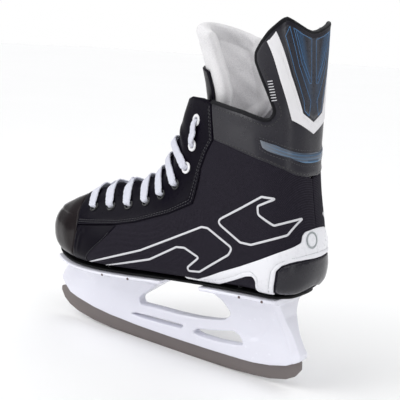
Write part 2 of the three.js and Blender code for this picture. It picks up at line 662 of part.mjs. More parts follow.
function addUpper() {
  const shell = formShell(0, SHELL).subtract(solePlate(-4, 5, 7.5, 2, 11));
  const throat = throatCutter(facingHalfGap, 4.5, 16, 14);
  const toeOutline = [...moved(TOE_SEAM, -SEAM_GAP, 0), [-150, 60], [-150, 150]];
  addPiece('toe_cap', shell.intersect(sidePrism(toeOutline, -FAR, FAR)), COLORS.blackLeather, 0.35);

  const facingOutline = [
    ...TOE_SEAM.slice(0, 4), ...moved(FACING_LOWER_SEAM, 0, SEAM_GAP),
    ...moved(FACING_REAR_SEAM, -SEAM_GAP, 0), ...FACING_TOP, [-2, 200], [-30, 170],
  ];
  const patchOutline = [
    ...TOE_SEAM.slice(4), ...moved(reversed(TOE_PATCH_SEAM), -SEAM_GAP, 0),
    ...moved(reversed(FACING_LOWER_SEAM.slice(0, 2)), 0, -SEAM_GAP),
  ];
  const quarterOutline = [
    ...moved(reversed(TOE_PATCH_SEAM), SEAM_GAP, 0), ...moved(FACING_LOWER_SEAM.slice(1), 0, -SEAM_GAP),
    ...moved(FACING_REAR_SEAM.slice(0, 3), SEAM_GAP, 0), [59.5, 199.2], ...moved(COLLAR_SEAM.slice(1), 0, -SEAM_GAP),
    [150, 60],
  ];
  [LATERAL, MEDIAL].forEach((side) => {
    const [y0, y1] = spans[side];
    let facing = shell.intersect(sidePrism(facingOutline, y0, y1)).subtract(throat);
    EYELET_STATIONS.forEach((_, i) => {
      facing = facing.subtract(eyeletHole(i, side));
    });
    addPiece(`facing_${sideName(side)}`, facing, COLORS.blackLeather, 0.45);
    addPiece(`toe_patch_${sideName(side)}`, shell.intersect(sidePrism(patchOutline, y0, y1)), COLORS.blackLeather, 0.4);
    addPiece(`quarter_${sideName(side)}`, shell.intersect(sidePrism(quarterOutline, y0, y1)), COLORS.textile, 0.85);
  });
  const collarOutline = [
    ...moved(COLLAR_SEAM, 0, SEAM_GAP), ...moved(reversed(GUARD_BASE), 0, -1.2),
    ...reversed(COLLAR_TOP).slice(1), [57, 216],
  ];
  addPiece('ankle_collar', shell.intersect(sidePrism(collarOutline, -FAR, FAR)), COLORS.collar, 0.45);
}

const GUARD_NOTCH = [[-32, 296.5], [-19, 291, 4], [0, 286.5, 10], [19, 291, 4], [32, 296.5], [32, 330], [-32, 330]];

function addTendonGuard() {
  const guardOutline = [...moved(GUARD_BASE, 0, 0), ...reversed(GUARD_FRONT)];
  const notch = rearPrism(GUARD_NOTCH, 60, 160);
  const cutter = sidePrism(guardOutline, -FAR, FAR).subtract(notch);
  addPiece('tendon_guard', formShell(0, SHELL).intersect(cutter), COLORS.collar, 0.45);
  const padOutline = [[127, 217.5], [150, 196], [150, 298], [120, 298], ...reversed(moved(GUARD_FRONT.slice(0, 8), 2, -2))];
  addPiece('guard_pad', formShell(SHELL + FIT_GAP, SHELL + 5.5)
    .intersect(sidePrism(padOutline, -FAR, FAR).subtract(rearPrism(moved(GUARD_NOTCH, 0, -3), 60, 160))), COLORS.felt, 0.9);

  const overlay = formShell(-OVERLAY, -FIT_GAP);
  const band = [[-40.5, 279], [-33, 252], [-24.5, 222, 2], [0, 211], [24.5, 222, 2], [33, 252], [40.5, 279],
    [38, 287], [27, 256], [14.5, 227, 2], [0, 220], [-14.5, 227, 2], [-27, 256], [-38, 287]];
  const rear = sidePrism([[104, 200], [150, 200], [150, 300], [100, 300]], -FAR, FAR);
  addPiece('guard_chevron', overlay.intersect(rearPrism(band, 60, 160)).intersect(rear), COLORS.white, 0.5);
  const panel = [[-36.5, 289], [-26, 256.5], [-13.5, 228, 2], [0, 221.5], [13.5, 228, 2], [26, 256.5], [36.5, 289],
    [30, 293.5], [19, 288.5, 4], [0, 284, 10], [-19, 288.5, 4], [-30, 293.5]];
  addPiece('guard_panel', overlay.intersect(rearPrism(panel, 60, 160)).intersect(rear), COLORS.navy, 0.4);
}

function addHeelPieces() {
  const overlay = formShell(-OVERLAY, -FIT_GAP);
  const band = [[38, 83.5, 2], [70, 92], [87, 101], [113, 114], [134, 126], [150, 131], [150, 116.5], [138, 116],
    [129, 112.5], [125.3, 107], [124.2, 95], [122, 86.8], [107, 86.5], [109.5, 96], [107, 100, 2], [96, 95.5], [81, 88.5],
    [70, 84.5], [50, 83]];
  const tab = [[-20, 120], [-20, 130], [-18, 136.5, 3], [-8, 138.5], [8, 138.5], [18, 136.5, 3], [20, 130], [20, 120]];
  const cutter = sidePrism(band, -FAR, FAR).add(rearPrism(tab, 128, 160));
  const sole = solePlate(-5, 0.4, -1, 6, SOLE_END + 0.1);
  addPiece('heel_support', overlay.intersect(cutter).subtract(sole), COLORS.whitePlastic, 0.3);
  const counter = [[123, 86.8], [125.1, 95], [126.2, 106.5], [129.6, 111.6], [138, 115], [150, 115.6], [150, 87], [138, 84.5], [124, 84]];
  addPiece('heel_counter', overlay.intersect(sidePrism(counter, -FAR, FAR)).subtract(sole), COLORS.blackRubber, 0.25);
  const insert = [[104, 206, 1], [116, 204], [124, 201], [131, 199], [150, 196], [150, 184], [131, 188.5], [122, 193.5],
    [111, 199.5], [105.5, 201, 1]];
  addPiece('ankle_insert', overlay.intersect(sidePrism(insert, -FAR, FAR)), COLORS.insert, 0.35);
}

function addLining() {
  const lining = formShell(SHELL + FIT_GAP, SHELL + FIT_GAP + LINING);
  const region = [[-96, 86], [-60, 83], [0, 88], [60, 93], [100, 95], [150, 100], [150, 192], [131, 207], [115.5, 222.3],
    [108, 219.3], [100, 220.3], [87, 223.3], [71, 225.8], [54.5, 228.3], [36, 229.5], [-10, 200], [-96, 160]];
  const throat = solid(frontSheet(ringsBetween(3.5, 17), () => 1.95, () => 0, () => 16));
  addPiece('lining', lining.intersect(sidePrism(region, -FAR, FAR)).subtract(throat), COLORS.felt, 0.95);
}

function addTongue() {
  const felt = TONGUE_SHELL + 2 * FIT_GAP;
  const deep = TONGUE_DEPTH + felt;
  addPiece('tongue_shell', lowerTongue(TONGUE_DEPTH, TONGUE_DEPTH + TONGUE_SHELL, 0), COLORS.blackLeather, 0.5);
  addPiece('tongue_lining', lowerTongue(deep, deep + TONGUE_FELT, 0.05), COLORS.felt, 0.95);
  addPiece('tongue_flap', flapBody(0, TONGUE_SHELL, LEATHER_SPAN, LEATHER_ROWS), COLORS.blackLeather, 0.5);
  addPiece('tongue_felt', flapBody(felt, felt + TONGUE_FELT, 1, FLAP.length - 1), COLORS.felt, 0.95);
}

function addEyeletsAndLace() {
  [LATERAL, MEDIAL].forEach((side) => {
    EYELET_STATIONS.forEach((_, i) => {
      const { point, normal } = eyeletPlace(i, side);
      const bright = i < UPPER_EYELETS;
      const ring = addPiece(`eyelet_${sideName(side)}_${i + 1}`, eyeletGeometry(),
        bright ? COLORS.chrome : COLORS.blackRubber, 0.3, bright ? 0.8 : 0.4);
      ring.position.copy(point);
      ring.quaternion.setFromUnitVectors(v3(0, 1, 0), normal);
    });
  });
  addPiece('lace', laceGeometry(), COLORS.lace, 0.85);
}

addRunnerAndHolder();
addSoleParts();
addUpper();
addTendonGuard();
addHeelPieces();
addLining();
addTongue();
addEyeletsAndLace();

export default skate;
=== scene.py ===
import math

import bpy
import numpy as np
from mathutils import Matrix, Vector
from mathutils.geometry import delaunay_2d_cdt
from mathutils.kdtree import KDTree


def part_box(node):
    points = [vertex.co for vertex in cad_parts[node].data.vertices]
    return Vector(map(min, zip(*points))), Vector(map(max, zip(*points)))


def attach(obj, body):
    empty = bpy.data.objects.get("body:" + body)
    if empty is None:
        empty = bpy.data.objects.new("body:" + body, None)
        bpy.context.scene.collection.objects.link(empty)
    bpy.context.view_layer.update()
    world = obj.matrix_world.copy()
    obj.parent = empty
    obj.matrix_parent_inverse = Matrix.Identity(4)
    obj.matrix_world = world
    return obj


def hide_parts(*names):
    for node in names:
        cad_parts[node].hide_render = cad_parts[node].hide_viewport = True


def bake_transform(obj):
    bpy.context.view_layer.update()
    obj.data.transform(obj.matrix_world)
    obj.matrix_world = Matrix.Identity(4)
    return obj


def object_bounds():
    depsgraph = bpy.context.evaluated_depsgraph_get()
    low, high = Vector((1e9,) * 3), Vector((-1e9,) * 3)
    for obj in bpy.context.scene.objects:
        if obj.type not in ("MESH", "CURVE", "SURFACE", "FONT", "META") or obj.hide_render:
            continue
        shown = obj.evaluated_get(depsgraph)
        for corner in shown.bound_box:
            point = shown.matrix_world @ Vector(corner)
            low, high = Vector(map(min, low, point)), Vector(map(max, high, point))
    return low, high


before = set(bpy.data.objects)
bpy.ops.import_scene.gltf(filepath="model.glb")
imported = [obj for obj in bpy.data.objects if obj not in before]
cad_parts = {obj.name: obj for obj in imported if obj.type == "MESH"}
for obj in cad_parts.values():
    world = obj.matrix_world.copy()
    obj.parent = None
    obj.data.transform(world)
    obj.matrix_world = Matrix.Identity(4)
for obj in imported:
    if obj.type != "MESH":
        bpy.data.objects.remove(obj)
CAD_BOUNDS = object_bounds()

MM = 0.001
LATERAL, MEDIAL = -1, 1
SIDES = {LATERAL: "lateral", MEDIAL: "medial"}

# ---------------------------------------------------------------- camera

VIEW_TARGET = Vector((24.9, 0.0, 141.9))
VIEW_DISTANCE = 700.0
VIEW_AZIMUTH = math.radians(36.7)
VIEW_ELEVATION = math.radians(11.16)
VIEW_ROLL = math.radians(-3.26)
FOCAL_LENGTH = 73.08           # on a 36 mm wide sensor


def add_camera():
    data = bpy.data.cameras.new("camera")
    data.lens = FOCAL_LENGTH
    data.sensor_width = 36.0
    data.clip_start, data.clip_end = 0.05, 20.0
    camera = bpy.data.objects.new("camera", data)
    bpy.context.scene.collection.objects.link(camera)
    level = math.cos(VIEW_ELEVATION)
    back = Vector((math.sin(VIEW_AZIMUTH) * level, -math.cos(VIEW_AZIMUTH) * level, math.sin(VIEW_ELEVATION)))
    right = Vector((math.cos(VIEW_AZIMUTH), math.sin(VIEW_AZIMUTH), 0))
    up = back.cross(right)
    right_rolled = right * math.cos(VIEW_ROLL) - up * math.sin(VIEW_ROLL)
    up_rolled = right * math.sin(VIEW_ROLL) + up * math.cos(VIEW_ROLL)
    place = Matrix((right_rolled, up_rolled, back)).transposed().to_4x4()
    place.translation = (VIEW_TARGET + back * VIEW_DISTANCE) * MM
    camera.matrix_world = place
    bpy.context.scene.camera = camera


add_camera()

# ---------------------------------------------------------------- the boot form, as in the CAD model

# [sole x, sole z, instep x, instep z, half width, height of the widest point,
#  squareness of the sole half, squareness of the instep half, sideways shift], in millimetres
FORM = np.array([
    [-137.5, 93, -138, 101, 1.5, 0.50, 2.0, 2.0, 6],
    [-135, 84, -135.5, 108, 16.5, 0.48, 2.4, 2.0, 6],
    [-128, 77, -130, 115, 28.5, 0.45, 2.8, 2.1, 5],
    [-113.5, 73, -117, 121, 38.5, 0.42, 3.4, 2.1, 4],
    [-90, 71.5, -94, 132, 46, 0.38, 4.0, 1.95, 2],
    [-60, 72.5, -66, 142, 49, 0.36, 4.2, 1.8, 0],
    [-28, 74.5, -38, 149, 47, 0.35, 4.2, 1.75, 0],
    [4, 77, -16, 158, 43.5, 0.33, 4.2, 1.8, 0],
    [36, 79.5, -4, 169, 40.5, 0.30, 4.2, 1.95, 0],
    [68, 82, 3, 181, 39, 0.26, 4.2, 2.15, 0],
    [98, 84, 7, 193, 38, 0.22, 3.8, 2.3, 0],
    [123.5, 84.5, 10, 205, 37.5, 0.19, 3.4, 2.4, 0],
    [139, 89.5, 13, 217, 37, 0.20, 2.8, 2.5, 0],
    [143.3, 111, 17, 229, 36.5, 0.23, 2.3, 2.5, 0],
    [139.5, 137, 21, 241, 36, 0.27, 2.2, 2.5, 0],
    [134.5, 163, 25, 253, 36, 0.32, 2.3, 2.5, 0],
    [131, 190, 29, 264, 36, 0.38, 2.5, 2.4, 0],
    [129, 217, 33, 276, 36.5, 0.44, 3.0, 2.4, 0],
    [126.5, 244, 37, 288, 38, 0.48, 3.4, 2.3, 0],
    [124, 271, 41, 300, 41, 0.50, 3.8, 2.3, 0],
    [121.5, 300, 45, 312, 44, 0.50, 4.0, 2.3, 0],
])
FORM = np.vstack([FORM, 2 * FORM[-1] - FORM[-2]])
LAST_STATION = 20.6
SOLE_WIDTH = np.array([4, 15, 27, 36.5, 43.5, 45.5, 43.5, 39.5, 36.5, 35, 34, 29, 16.0])


def spline(rows, t):
    """Catmull-Rom through rows of numbers, at t rows from the start."""
    rows = np.asarray(rows, float)
    last = len(rows) - 1
    t = np.clip(np.asarray(t, float), 0, last - 1e-9)
    i = np.floor(t).astype(int)
    u = (t - i)[..., None] if rows.ndim > 1 else t - i
    a, b, c, d = (rows[np.clip(i + k, 0, last)] for k in (-1, 0, 1, 2))
    return 0.5 * (2 * b + (c - a) * u + (2 * a - 5 * b + 4 * c - d) * u * u
                      + (3 * b - a - 3 * c + d) * u ** 3)


def form_point(s, psi):
    """A point of the form. psi is 0 on the sole-and-heel profile and pi on the instep; positive is medial."""
    s, psi = np.broadcast_arrays(np.asarray(s, float), np.asarray(psi, float))
    q = spline(FORM, np.clip(s, 0, LAST_STATION))
    cosine, sine = np.cos(psi), np.sin(psi)
    power = np.where(cosine > 0, q[..., 6], q[..., 7])
    radius = (np.abs(cosine) ** power + np.abs(sine) ** power) ** (-1 / power)
    along = radius * np.abs(cosine)
    middle = q[..., 5]
    height = np.where(cosine > 0, middle * (1 - along), middle + (1 - middle) * along)
    out = radius * np.abs(sine) * np.sign(sine)
    return np.stack([
        q[..., 0] + (q[..., 2] - q[..., 0]) * height,
        q[..., 8] + q[..., 4] * out,
        q[..., 1] + (q[..., 3] - q[..., 1]) * height,
    ], -1)


def unit(v):
    return v / np.maximum(np.linalg.norm(v, axis=-1, keepdims=True), 1e-9)


def form_normal(s, psi):
    h = 0.02
    along_s = form_point(np.minimum(s + h, LAST_STATION), psi) - form_point(np.maximum(s - h, 0), psi)
    along_psi = form_point(s, psi + h) - form_point(s, psi - h)
    return -unit(np.cross(along_s, along_psi))


S_TABLE = np.linspace(0, LAST_STATION, 1031)
Q_TABLE = spline(FORM, S_TABLE)


def from_side(x, z, side):
    """Station and angle of the form's point at (x, z) in side view."""
    sole, instep = Q_TABLE[:, 0:2], Q_TABLE[:, 2:4]
    run = instep - sole
    rel = np.array([x, z]) - sole
    cross = run[:, 0] * rel[:, 1] - run[:, 1] * rel[:, 0]
    share = (rel * run).sum(1) / (run ** 2).sum(1)
    roots = np.nonzero(cross[:-1] * cross[1:] <= 0)[0]
    if len(roots) == 0:
        roots = [int(np.argmin(np.abs(cross) + 1e4 * (np.abs(share - 0.5) > 0.75)))]
    best = min(roots, key=lambda i: abs(share[i] - 0.5))
    spread = cross[best] - cross[min(best + 1, len(cross) - 1)]
    step = cross[best] / spread if abs(spread) > 1e-9 else 0
    s = S_TABLE[best] + np.clip(step, 0, 1) * (S_TABLE[1] - S_TABLE[0])
    q = spline(FORM, s)
    base, line = q[0:2], q[2:4] - q[0:2]
    t = float(np.clip(((np.array([x, z]) - base) @ line) / (line @ line), 0, 1))
    middle = q[5]
    if t <= middle:
        v = 1 - t / middle
        u = (1 - v ** q[6]) ** (1 / q[6])
        angle = math.atan2(u, v)
    else:
        v = (t - middle) / (1 - middle)
        u = (1 - v ** q[7]) ** (1 / q[7])
        angle = math.pi - math.atan2(u, v)
    return s, side * angle


def from_rear(y, z):
    """Station and angle of the form's point at (y, z) seen from the heel."""
    low, high = 10.0, LAST_STATION
    for _ in range(40):
        s = (low + high) / 2
        q = spline(FORM, s)
        u = min(abs(y - q[8]) / q[4], 0.999)
        v = (1 - u ** q[6]) ** (1 / q[6])
        here = q[1] + (q[3] - q[1]) * q[5] * (1 - v)
        low, high = (s, high) if here < z else (low, s)
    return s, math.copysign(math.atan2(u, v), y)


def rounded(points, closed=True, step=1.4):
    """Points [x, y, radius] of an outline, with each corner rounded, resampled no wider than step."""
    flat = []
    n = len(points)
    for i, p in enumerate(points):
        here = np.array(p[:2], float)
        radius = p[2] if len(p) > 2 else 0
        if radius <= 0 or (not closed and i in (0, n - 1)):
            flat.append(here)
            continue
        before = np.array(points[i - 1][:2], float) - here
        after = np.array(points[(i + 1) % n][:2], float) - here
        lb, la = np.linalg.norm(before), np.linalg.norm(after)
        before, after = before / lb, after / la
        half = math.acos(float(np.clip(before @ after, -1, 1))) / 2
        cut = min(radius / max(math.tan(half), 1e-3), 0.49 * lb, 0.49 * la)
        start, end = here + before * cut, here + after * cut
        for t in np.linspace(0, 1, 7):
            flat.append((1 - t) ** 2 * start + 2 * t * (1 - t) * here + t * t * end)
    if closed:
        flat.append(flat[0])
    out = [flat[0]]
    for a, b in zip(flat[:-1], flat[1:]):
        count = max(1, int(math.ceil(np.linalg.norm(b - a) / step)))
        out += [a + (b - a) * k / count for k in range(1, count + 1)]
    out = np.array(out)
    keep = np.r_[True, np.linalg.norm(np.diff(out, axis=0), axis=1) > 0.02]
    out = out[keep]
    return out[:-1] if closed else out


def smooth_curve(points, step=1.4):
    """A Catmull-Rom curve through open points, resampled."""
    points = np.array([p[:2] for p in points], float)
    t = np.linspace(0, len(points) - 1, 40 * len(points))
    fine = spline(points, t)
    length = np.r_[0, np.cumsum(np.linalg.norm(np.diff(fine, axis=0), axis=1))]
    count = max(2, int(length[-1] / step) + 1)
    at = np.linspace(0, length[-1], count)
    return np.stack([np.interp(at, length, fine[:, k]) for k in (0, 1)], -1)


def side_path(points, side, closed=False, smooth=False):
    flat = smooth_curve(points) if smooth else rounded(points, closed)
    return np.array([from_side(x, z, side) for x, z in flat])


def rear_path(points, closed=False):
    return np.array([from_rear(y, z) for y, z in rounded(points, closed)])


# ---------------------------------------------------------------- the form unrolled to millimetres


class Unrolled:
    """A flat map of the form: u runs along the boot and v runs round it, from the centre angle."""

    def __init__(self, centre):
        self.rows = np.linspace(0, LAST_STATION, 413)
        self.psi = np.linspace(centre - math.pi, centre + math.pi, 721)
        grid = form_point(self.rows[:, None], self.psi[None, :])
        around = np.cumsum(np.linalg.norm(np.diff(grid, axis=1), axis=2), axis=1)
        around = np.hstack([np.zeros((len(self.rows), 1)), around])
        self.v = around - around[:, 360:361]
        ahead = np.linalg.norm(np.diff(grid, axis=0), axis=2).mean(1)
        self.u = np.r_[0, np.cumsum(ahead)]

    def flat(self, path):
        path = np.asarray(path, float)
        row = path[:, 0] / LAST_STATION * (len(self.rows) - 1)
        i = np.clip(np.floor(row).astype(int), 0, len(self.rows) - 2)
        f = row - i
        column = (path[:, 1] - self.psi[0]) / (self.psi[1] - self.psi[0])
        j = np.clip(np.floor(column).astype(int), 0, len(self.psi) - 2)
        g = column - j
        near = self.v[i, j] * (1 - g) + self.v[i, j + 1] * g
        far = self.v[i + 1, j] * (1 - g) + self.v[i + 1, j + 1] * g
        return np.stack([np.interp(path[:, 0], self.rows, self.u), near * (1 - f) + far * f], -1)

    def curved(self, flat):
        flat = np.asarray(flat, float)
        s = np.interp(flat[:, 0], self.u, self.rows)
        row = s / LAST_STATION * (len(self.rows) - 1)
        i = np.clip(np.floor(row).astype(int), 0, len(self.rows) - 2)
        f = row - i
        out = np.empty(len(flat))
        for k in range(len(flat)):
            table = self.v[i[k]] * (1 - f[k]) + self.v[i[k] + 1] * f[k]
            out[k] = np.interp(flat[k, 1], table, self.psi)
        return np.stack([s, out], -1)


HEEL_MAP = Unrolled(0.0)
TOE_MAP = Unrolled(math.pi)


def inside(polygon, points):
    x, y = points[:, 0], points[:, 1]
    result = np.zeros(len(points), bool)
    for (ax, ay), (bx, by) in zip(polygon, np.roll(polygon, -1, axis=0)):
        crosses = (ay > y) != (by > y)
        with np.errstate(divide="ignore", invalid="ignore"):
            at = (bx - ax) * (y - ay) / (by - ay) + ax
        result ^= crosses & (x < at)
    return result


def distance_to(loops, points, closed=True):
    """Distance in 3-D from each point to the nearest of the polylines."""
    starts, ends = [], []
    for loop in loops:
        loop = np.asarray(loop)
        starts.append(loop if closed else loop[:-1])
        ends.append(np.roll(loop, -1, axis=0) if closed else loop[1:])
    starts, ends = np.vstack(starts), np.vstack(ends)
    middle = (starts + ends) / 2
    tree = KDTree(len(middle))
    for i, p in enumerate(middle):
        tree.insert(p, i)
    tree.balance()
    result = np.empty(len(points))
    for k, p in enumerate(points):
        best = 1e9
        for _, i, _ in tree.find_n(p, 3):
            a, b = starts[i], ends[i]
            run = b - a
            t = min(max(float((p - a) @ run) / max(float(run @ run), 1e-12), 0), 1)
            best = min(best, float(np.linalg.norm(p - a - t * run)))
        result[k] = best
    return result


# ---------------------------------------------------------------- making meshes


def add_mesh(name, points, faces, smooth=True):
    """A mesh object from points in millimetres."""
    mesh = bpy.data.meshes.new(name)
    mesh.from_pydata((np.asarray(points, float) * MM).tolist(), [], [list(map(int, f)) for f in faces])
    mesh.validate()
    mesh.update()
    if smooth:
        mesh.polygons.foreach_set("use_smooth", [True] * len(mesh.polygons))
    piece = bpy.data.objects.new(name, mesh)
    bpy.context.scene.collection.objects.link(piece)
    return piece


def set_flat(piece, flat):
    """Keeps each vertex's place on the unrolled map, in millimetres, for the woven materials."""
    store = piece.data.attributes.new("flat", "FLOAT_VECTOR", "POINT")
    values = np.zeros((len(flat), 3), np.float32)
    values[:, :2] = flat
    store.data.foreach_set("vector", values.ravel())


def triangulate(loops, inner):
    """Constrained triangulation of flat points inside the first loop and outside the others."""
    points, edges = [], []
    for loop in loops:
        first = len(points)
        points += [Vector(p) for p in loop]
        edges += [(first + i, first + (i + 1) % len(loop)) for i in range(len(loop))]
    points += [Vector(p) for p in inner]
    verts, _, faces, _, _, _ = delaunay_2d_cdt(points, edges, [], 1, 1e-5)
    verts = np.array([v[:] for v in verts])
    faces = np.array([f for f in faces if len(f) == 3], int)
    centre = verts[faces].mean(1)
    keep = inside(loops[0], centre)
    for hole in loops[1:]:
        keep &= ~inside(hole, centre)
    faces = faces[keep]
    used = np.unique(faces)
    index = -np.ones(len(verts), int)
    index[used] = np.arange(len(used))
    return verts[used], index[faces]


def boundary_edges(faces):
    """Edges that belong to one face only, in that face's direction."""
    seen = {}
    for f in faces:
        for a, b in zip(f, np.roll(f, -1)):
            seen.setdefault((min(a, b), max(a, b)), []).append((a, b))
    return [pair[0] for pair in seen.values() if len(pair) == 1]


def rolled(distance, radius):
    """Height lost by a rounded edge, at a distance from it."""
    near = np.clip(1 - distance / radius, 0, 1)
    return radius * (1 - np.sqrt(np.clip(1 - near ** 2, 0, 1)))


def step_on_form(path, direction):
    """Change of station and angle, at each point of a path, that moves one millimetre in a direction."""
    h = 0.02
    pu = (form_point(path[:, 0] + h, path[:, 1]) - form_point(path[:, 0] - h, path[:, 1])) / (2 * h)
    pv = (form_point(path[:, 0], path[:, 1] + h) - form_point(path[:, 0], path[:, 1] - h)) / (2 * h)
    a, b, c = (pu * pu).sum(1), (pu * pv).sum(1), (pv * pv).sum(1)
    r1, r2 = (direction * pu).sum(1), (direction * pv).sum(1)
    det = np.maximum(a * c - b * b, 1e-6)
    return np.stack([(c * r1 - b * r2) / det, (a * r2 - b * r1) / det], -1)


def panel(name, flat_map, outline, holes=(), proud=0.0, depth=3.0, edge=0.9, spacing=2.0, relief=None,
          grooves=(), edge_rings=(0.12, 0.4, 1.0), soft=()):
    """A sewn or moulded sheet on the form: its border is rolled over, and its back is closed.
    grooves are [path, half width, depth] of lines pressed into it; soft paths are borders that run
    on under a neighbour, so they aren't rolled."""
    loops = [flat_map.flat(path) for path in (outline, *holes)]
    solid_loops = []
    for path in (outline, *holes):
        points = form_point(path[:, 0], path[:, 1])
        solid_loops.append(points)
    rings = []
    for index, path in enumerate((outline, *holes)):
        flat = loops[index]
        p = solid_loops[index]
        tangent = unit(np.roll(p, -1, axis=0) - np.roll(p, 1, axis=0))
        normal = form_normal(path[:, 0], path[:, 1])
        inward = unit(np.cross(normal, tangent))
        step = step_on_form(path, inward)
        test = flat_map.flat(path + step * 0.3)
        good = inside(loops[0], test)
        for hole in loops[1:]:
            good &= ~inside(hole, test)
        if good.mean() < 0.5:
            step = -step
        for share in edge_rings:
            rings.append(flat_map.flat(path + step * share * edge))
    for path, half, _ in grooves:
        p = form_point(path[:, 0], path[:, 1])
        tangent = unit(np.gradient(p, axis=0))
        normal = form_normal(path[:, 0], path[:, 1])
        across = unit(np.cross(normal, tangent))
        step = step_on_form(path, across)
        for share in (-1, -0.5, 0, 0.5, 1):
            rings.append(flat_map.flat(path + step * share * half))
    low, high = loops[0].min(0), loops[0].max(0)
    us = np.arange(low[0] + spacing / 2, high[0], spacing)
    vs = np.arange(low[1] + spacing / 2, high[1], spacing)
    lattice = np.array([(u, v + (spacing / 2 if i % 2 else 0)) for i, u in enumerate(us) for v in vs])
    near = KDTree(sum(len(r) for r in rings) + sum(len(p) for p in loops))
    i = 0
    for group in (*rings, *loops):
        for p in group:
            near.insert((p[0], p[1], 0), i)
            i += 1
    near.balance()
    if len(lattice):
        lattice = lattice[[near.find((u, v, 0))[2] > spacing * 0.45 for u, v in lattice]]
    inner = np.vstack([lattice, *rings]) if rings else lattice
    keep = inside(loops[0], inner)
    for hole in loops[1:]:
        keep &= ~inside(hole, inner)
    flat, faces = triangulate(loops, inner[keep])
    at = flat_map.curved(flat)
    base = form_point(at[:, 0], at[:, 1])
    normal = form_normal(at[:, 0], at[:, 1])
    height = np.full(len(at), float(proud))
    gap = distance_to(solid_loops, base)
    if len(soft):
        away = distance_to([form_point(p[:, 0], p[:, 1]) for p in soft], base, closed=False)
        gap = np.where(away < gap + 0.05, 99.0, gap)
    height -= rolled(gap, edge)
    for path, half, deep in grooves:
        d = distance_to([form_point(path[:, 0], path[:, 1])], base, closed=False)
        height -= deep * np.clip(1 - d / half, 0, 1) ** 0.7
    if relief is not None:
        height += relief(at, base, gap)
    outer = base + normal * height[:, None]
    inner_side = base - normal * depth
    turn = np.einsum("ij,ij->i", np.cross(outer[faces[:, 1]] - outer[faces[:, 0]],
                                          outer[faces[:, 2]] - outer[faces[:, 0]]), normal[faces[:, 0]])
    faces = np.where((turn < 0)[:, None], faces[:, ::-1], faces)
    n = len(outer)
    walls = []
    for a, b in boundary_edges(faces):
        walls.append((b, a, a + n, b + n))
    all_faces = [tuple(f) for f in faces] + [tuple(f[::-1] + n) for f in faces] + walls
    piece = add_mesh(name, np.vstack([outer, inner_side]), all_faces)
    set_flat(piece, np.vstack([flat, flat]))
    return piece


def tube(name, centre, radius, around=10, closed=False, ends=True):
    """A round tube along 3-D points; radius may change along it."""
    centre = np.asarray(centre, float)
    n = len(centre)
    radius = np.broadcast_to(np.asarray(radius, float), (n,))
    tangent = np.roll(centre, -1, axis=0) - np.roll(centre, 1, axis=0)
    if not closed:
        tangent[0], tangent[-1] = centre[1] - centre[0], centre[-1] - centre[-2]
    tangent = unit(tangent)
    first = np.cross(tangent[0], [0.31, 0.21, 0.93])
    side = [unit(first)]
    for t in tangent[1:]:
        carried = side[-1] - t * (side[-1] @ t)
        side.append(unit(carried))
    side = np.array(side)
    other = np.cross(tangent, side)
    angles = np.linspace(0, 2 * math.pi, around, endpoint=False)
    points = (centre[:, None, :] + radius[:, None, None] * (np.cos(angles)[None, :, None] * side[:, None, :]
              + np.sin(angles)[None, :, None] * other[:, None, :])).reshape(-1, 3)
    faces = []
    for i in range(n if closed else n - 1):
        j = (i + 1) % n
        for k in range(around):
            m = (k + 1) % around
            faces.append((i * around + k, i * around + m, j * around + m, j * around + k))
    if not closed and ends:
        points = np.vstack([points, centre[0] - tangent[0] * radius[0] * 0.5,
                            centre[-1] + tangent[-1] * radius[-1] * 0.5])
        a, b = len(points) - 2, len(points) - 1
        last = (n - 1) * around
        for k in range(around):
            m = (k + 1) % around
            faces.append((a, m, k))
            faces.append((b, last + k, last + m))
    return add_mesh(name, points, faces)


def on_form(path, height=0.0):
    return form_point(path[:, 0], path[:, 1]) + form_normal(path[:, 0], path[:, 1]) * height


def resample(points, step):
    points = np.asarray(points, float)
    length = np.r_[0, np.cumsum(np.linalg.norm(np.diff(points, axis=0), axis=1))]
    count = max(2, int(round(length[-1] / step)) + 1)
    at = np.linspace(0, length[-1], count)
    return np.stack([np.interp(at, length, points[:, k]) for k in range(points.shape[1])], -1)


def joined(name, parts):
    """Several lists of points and faces as one mesh."""
    points, faces, first = [], [], 0
    for p, f in parts:
        points.append(p)
        faces += [tuple(i + first for i in face) for face in f]
        first += len(p)
    return add_mesh(name, np.vstack(points), faces)


def stitch_parts(path, height, pitch=3.0, length=2.1, thread=0.36, offset=0.0):
    """Sewing thread: short rounded stitches along a path on the form, offset sideways."""
    centre = on_form(path, 0)
    normal = form_normal(path[:, 0], path[:, 1])
    tangent = unit(np.gradient(centre, axis=0))
    centre = centre + np.cross(normal, tangent) * offset
    walk = np.r_[0, np.cumsum(np.linalg.norm(np.diff(centre, axis=0), axis=1))]
    at = np.arange(pitch / 2, walk[-1], pitch)
    pick = lambda values: np.stack([np.interp(at, walk, values[:, k]) for k in range(3)], -1)
    parts = []
    shape = [(-1.0, 0.0, -0.5), (-0.8, 0.75, 0.0), (0.0, 1.0, 0.25), (0.8, 0.75, 0.0), (1.0, 0.0, -0.5)]
    for c, n, t in zip(pick(centre), unit(pick(normal)), unit(pick(tangent))):
        side = unit(np.cross(n, t))
        points, faces = [], []
        for x, r, lift in shape:
            for k in range(6):
                a = k * math.pi / 3
                points.append(c + n * (height + thread * (r * math.sin(a) + lift)) + t * x * length / 2
                              + side * thread * r * math.cos(a))
        for i in range(4):
            for k in range(6):
                m = (k + 1) % 6
                faces.append((i * 6 + k, i * 6 + m, (i + 1) * 6 + m, (i + 1) * 6 + k))
        parts.append((np.array(points), faces))
    return parts


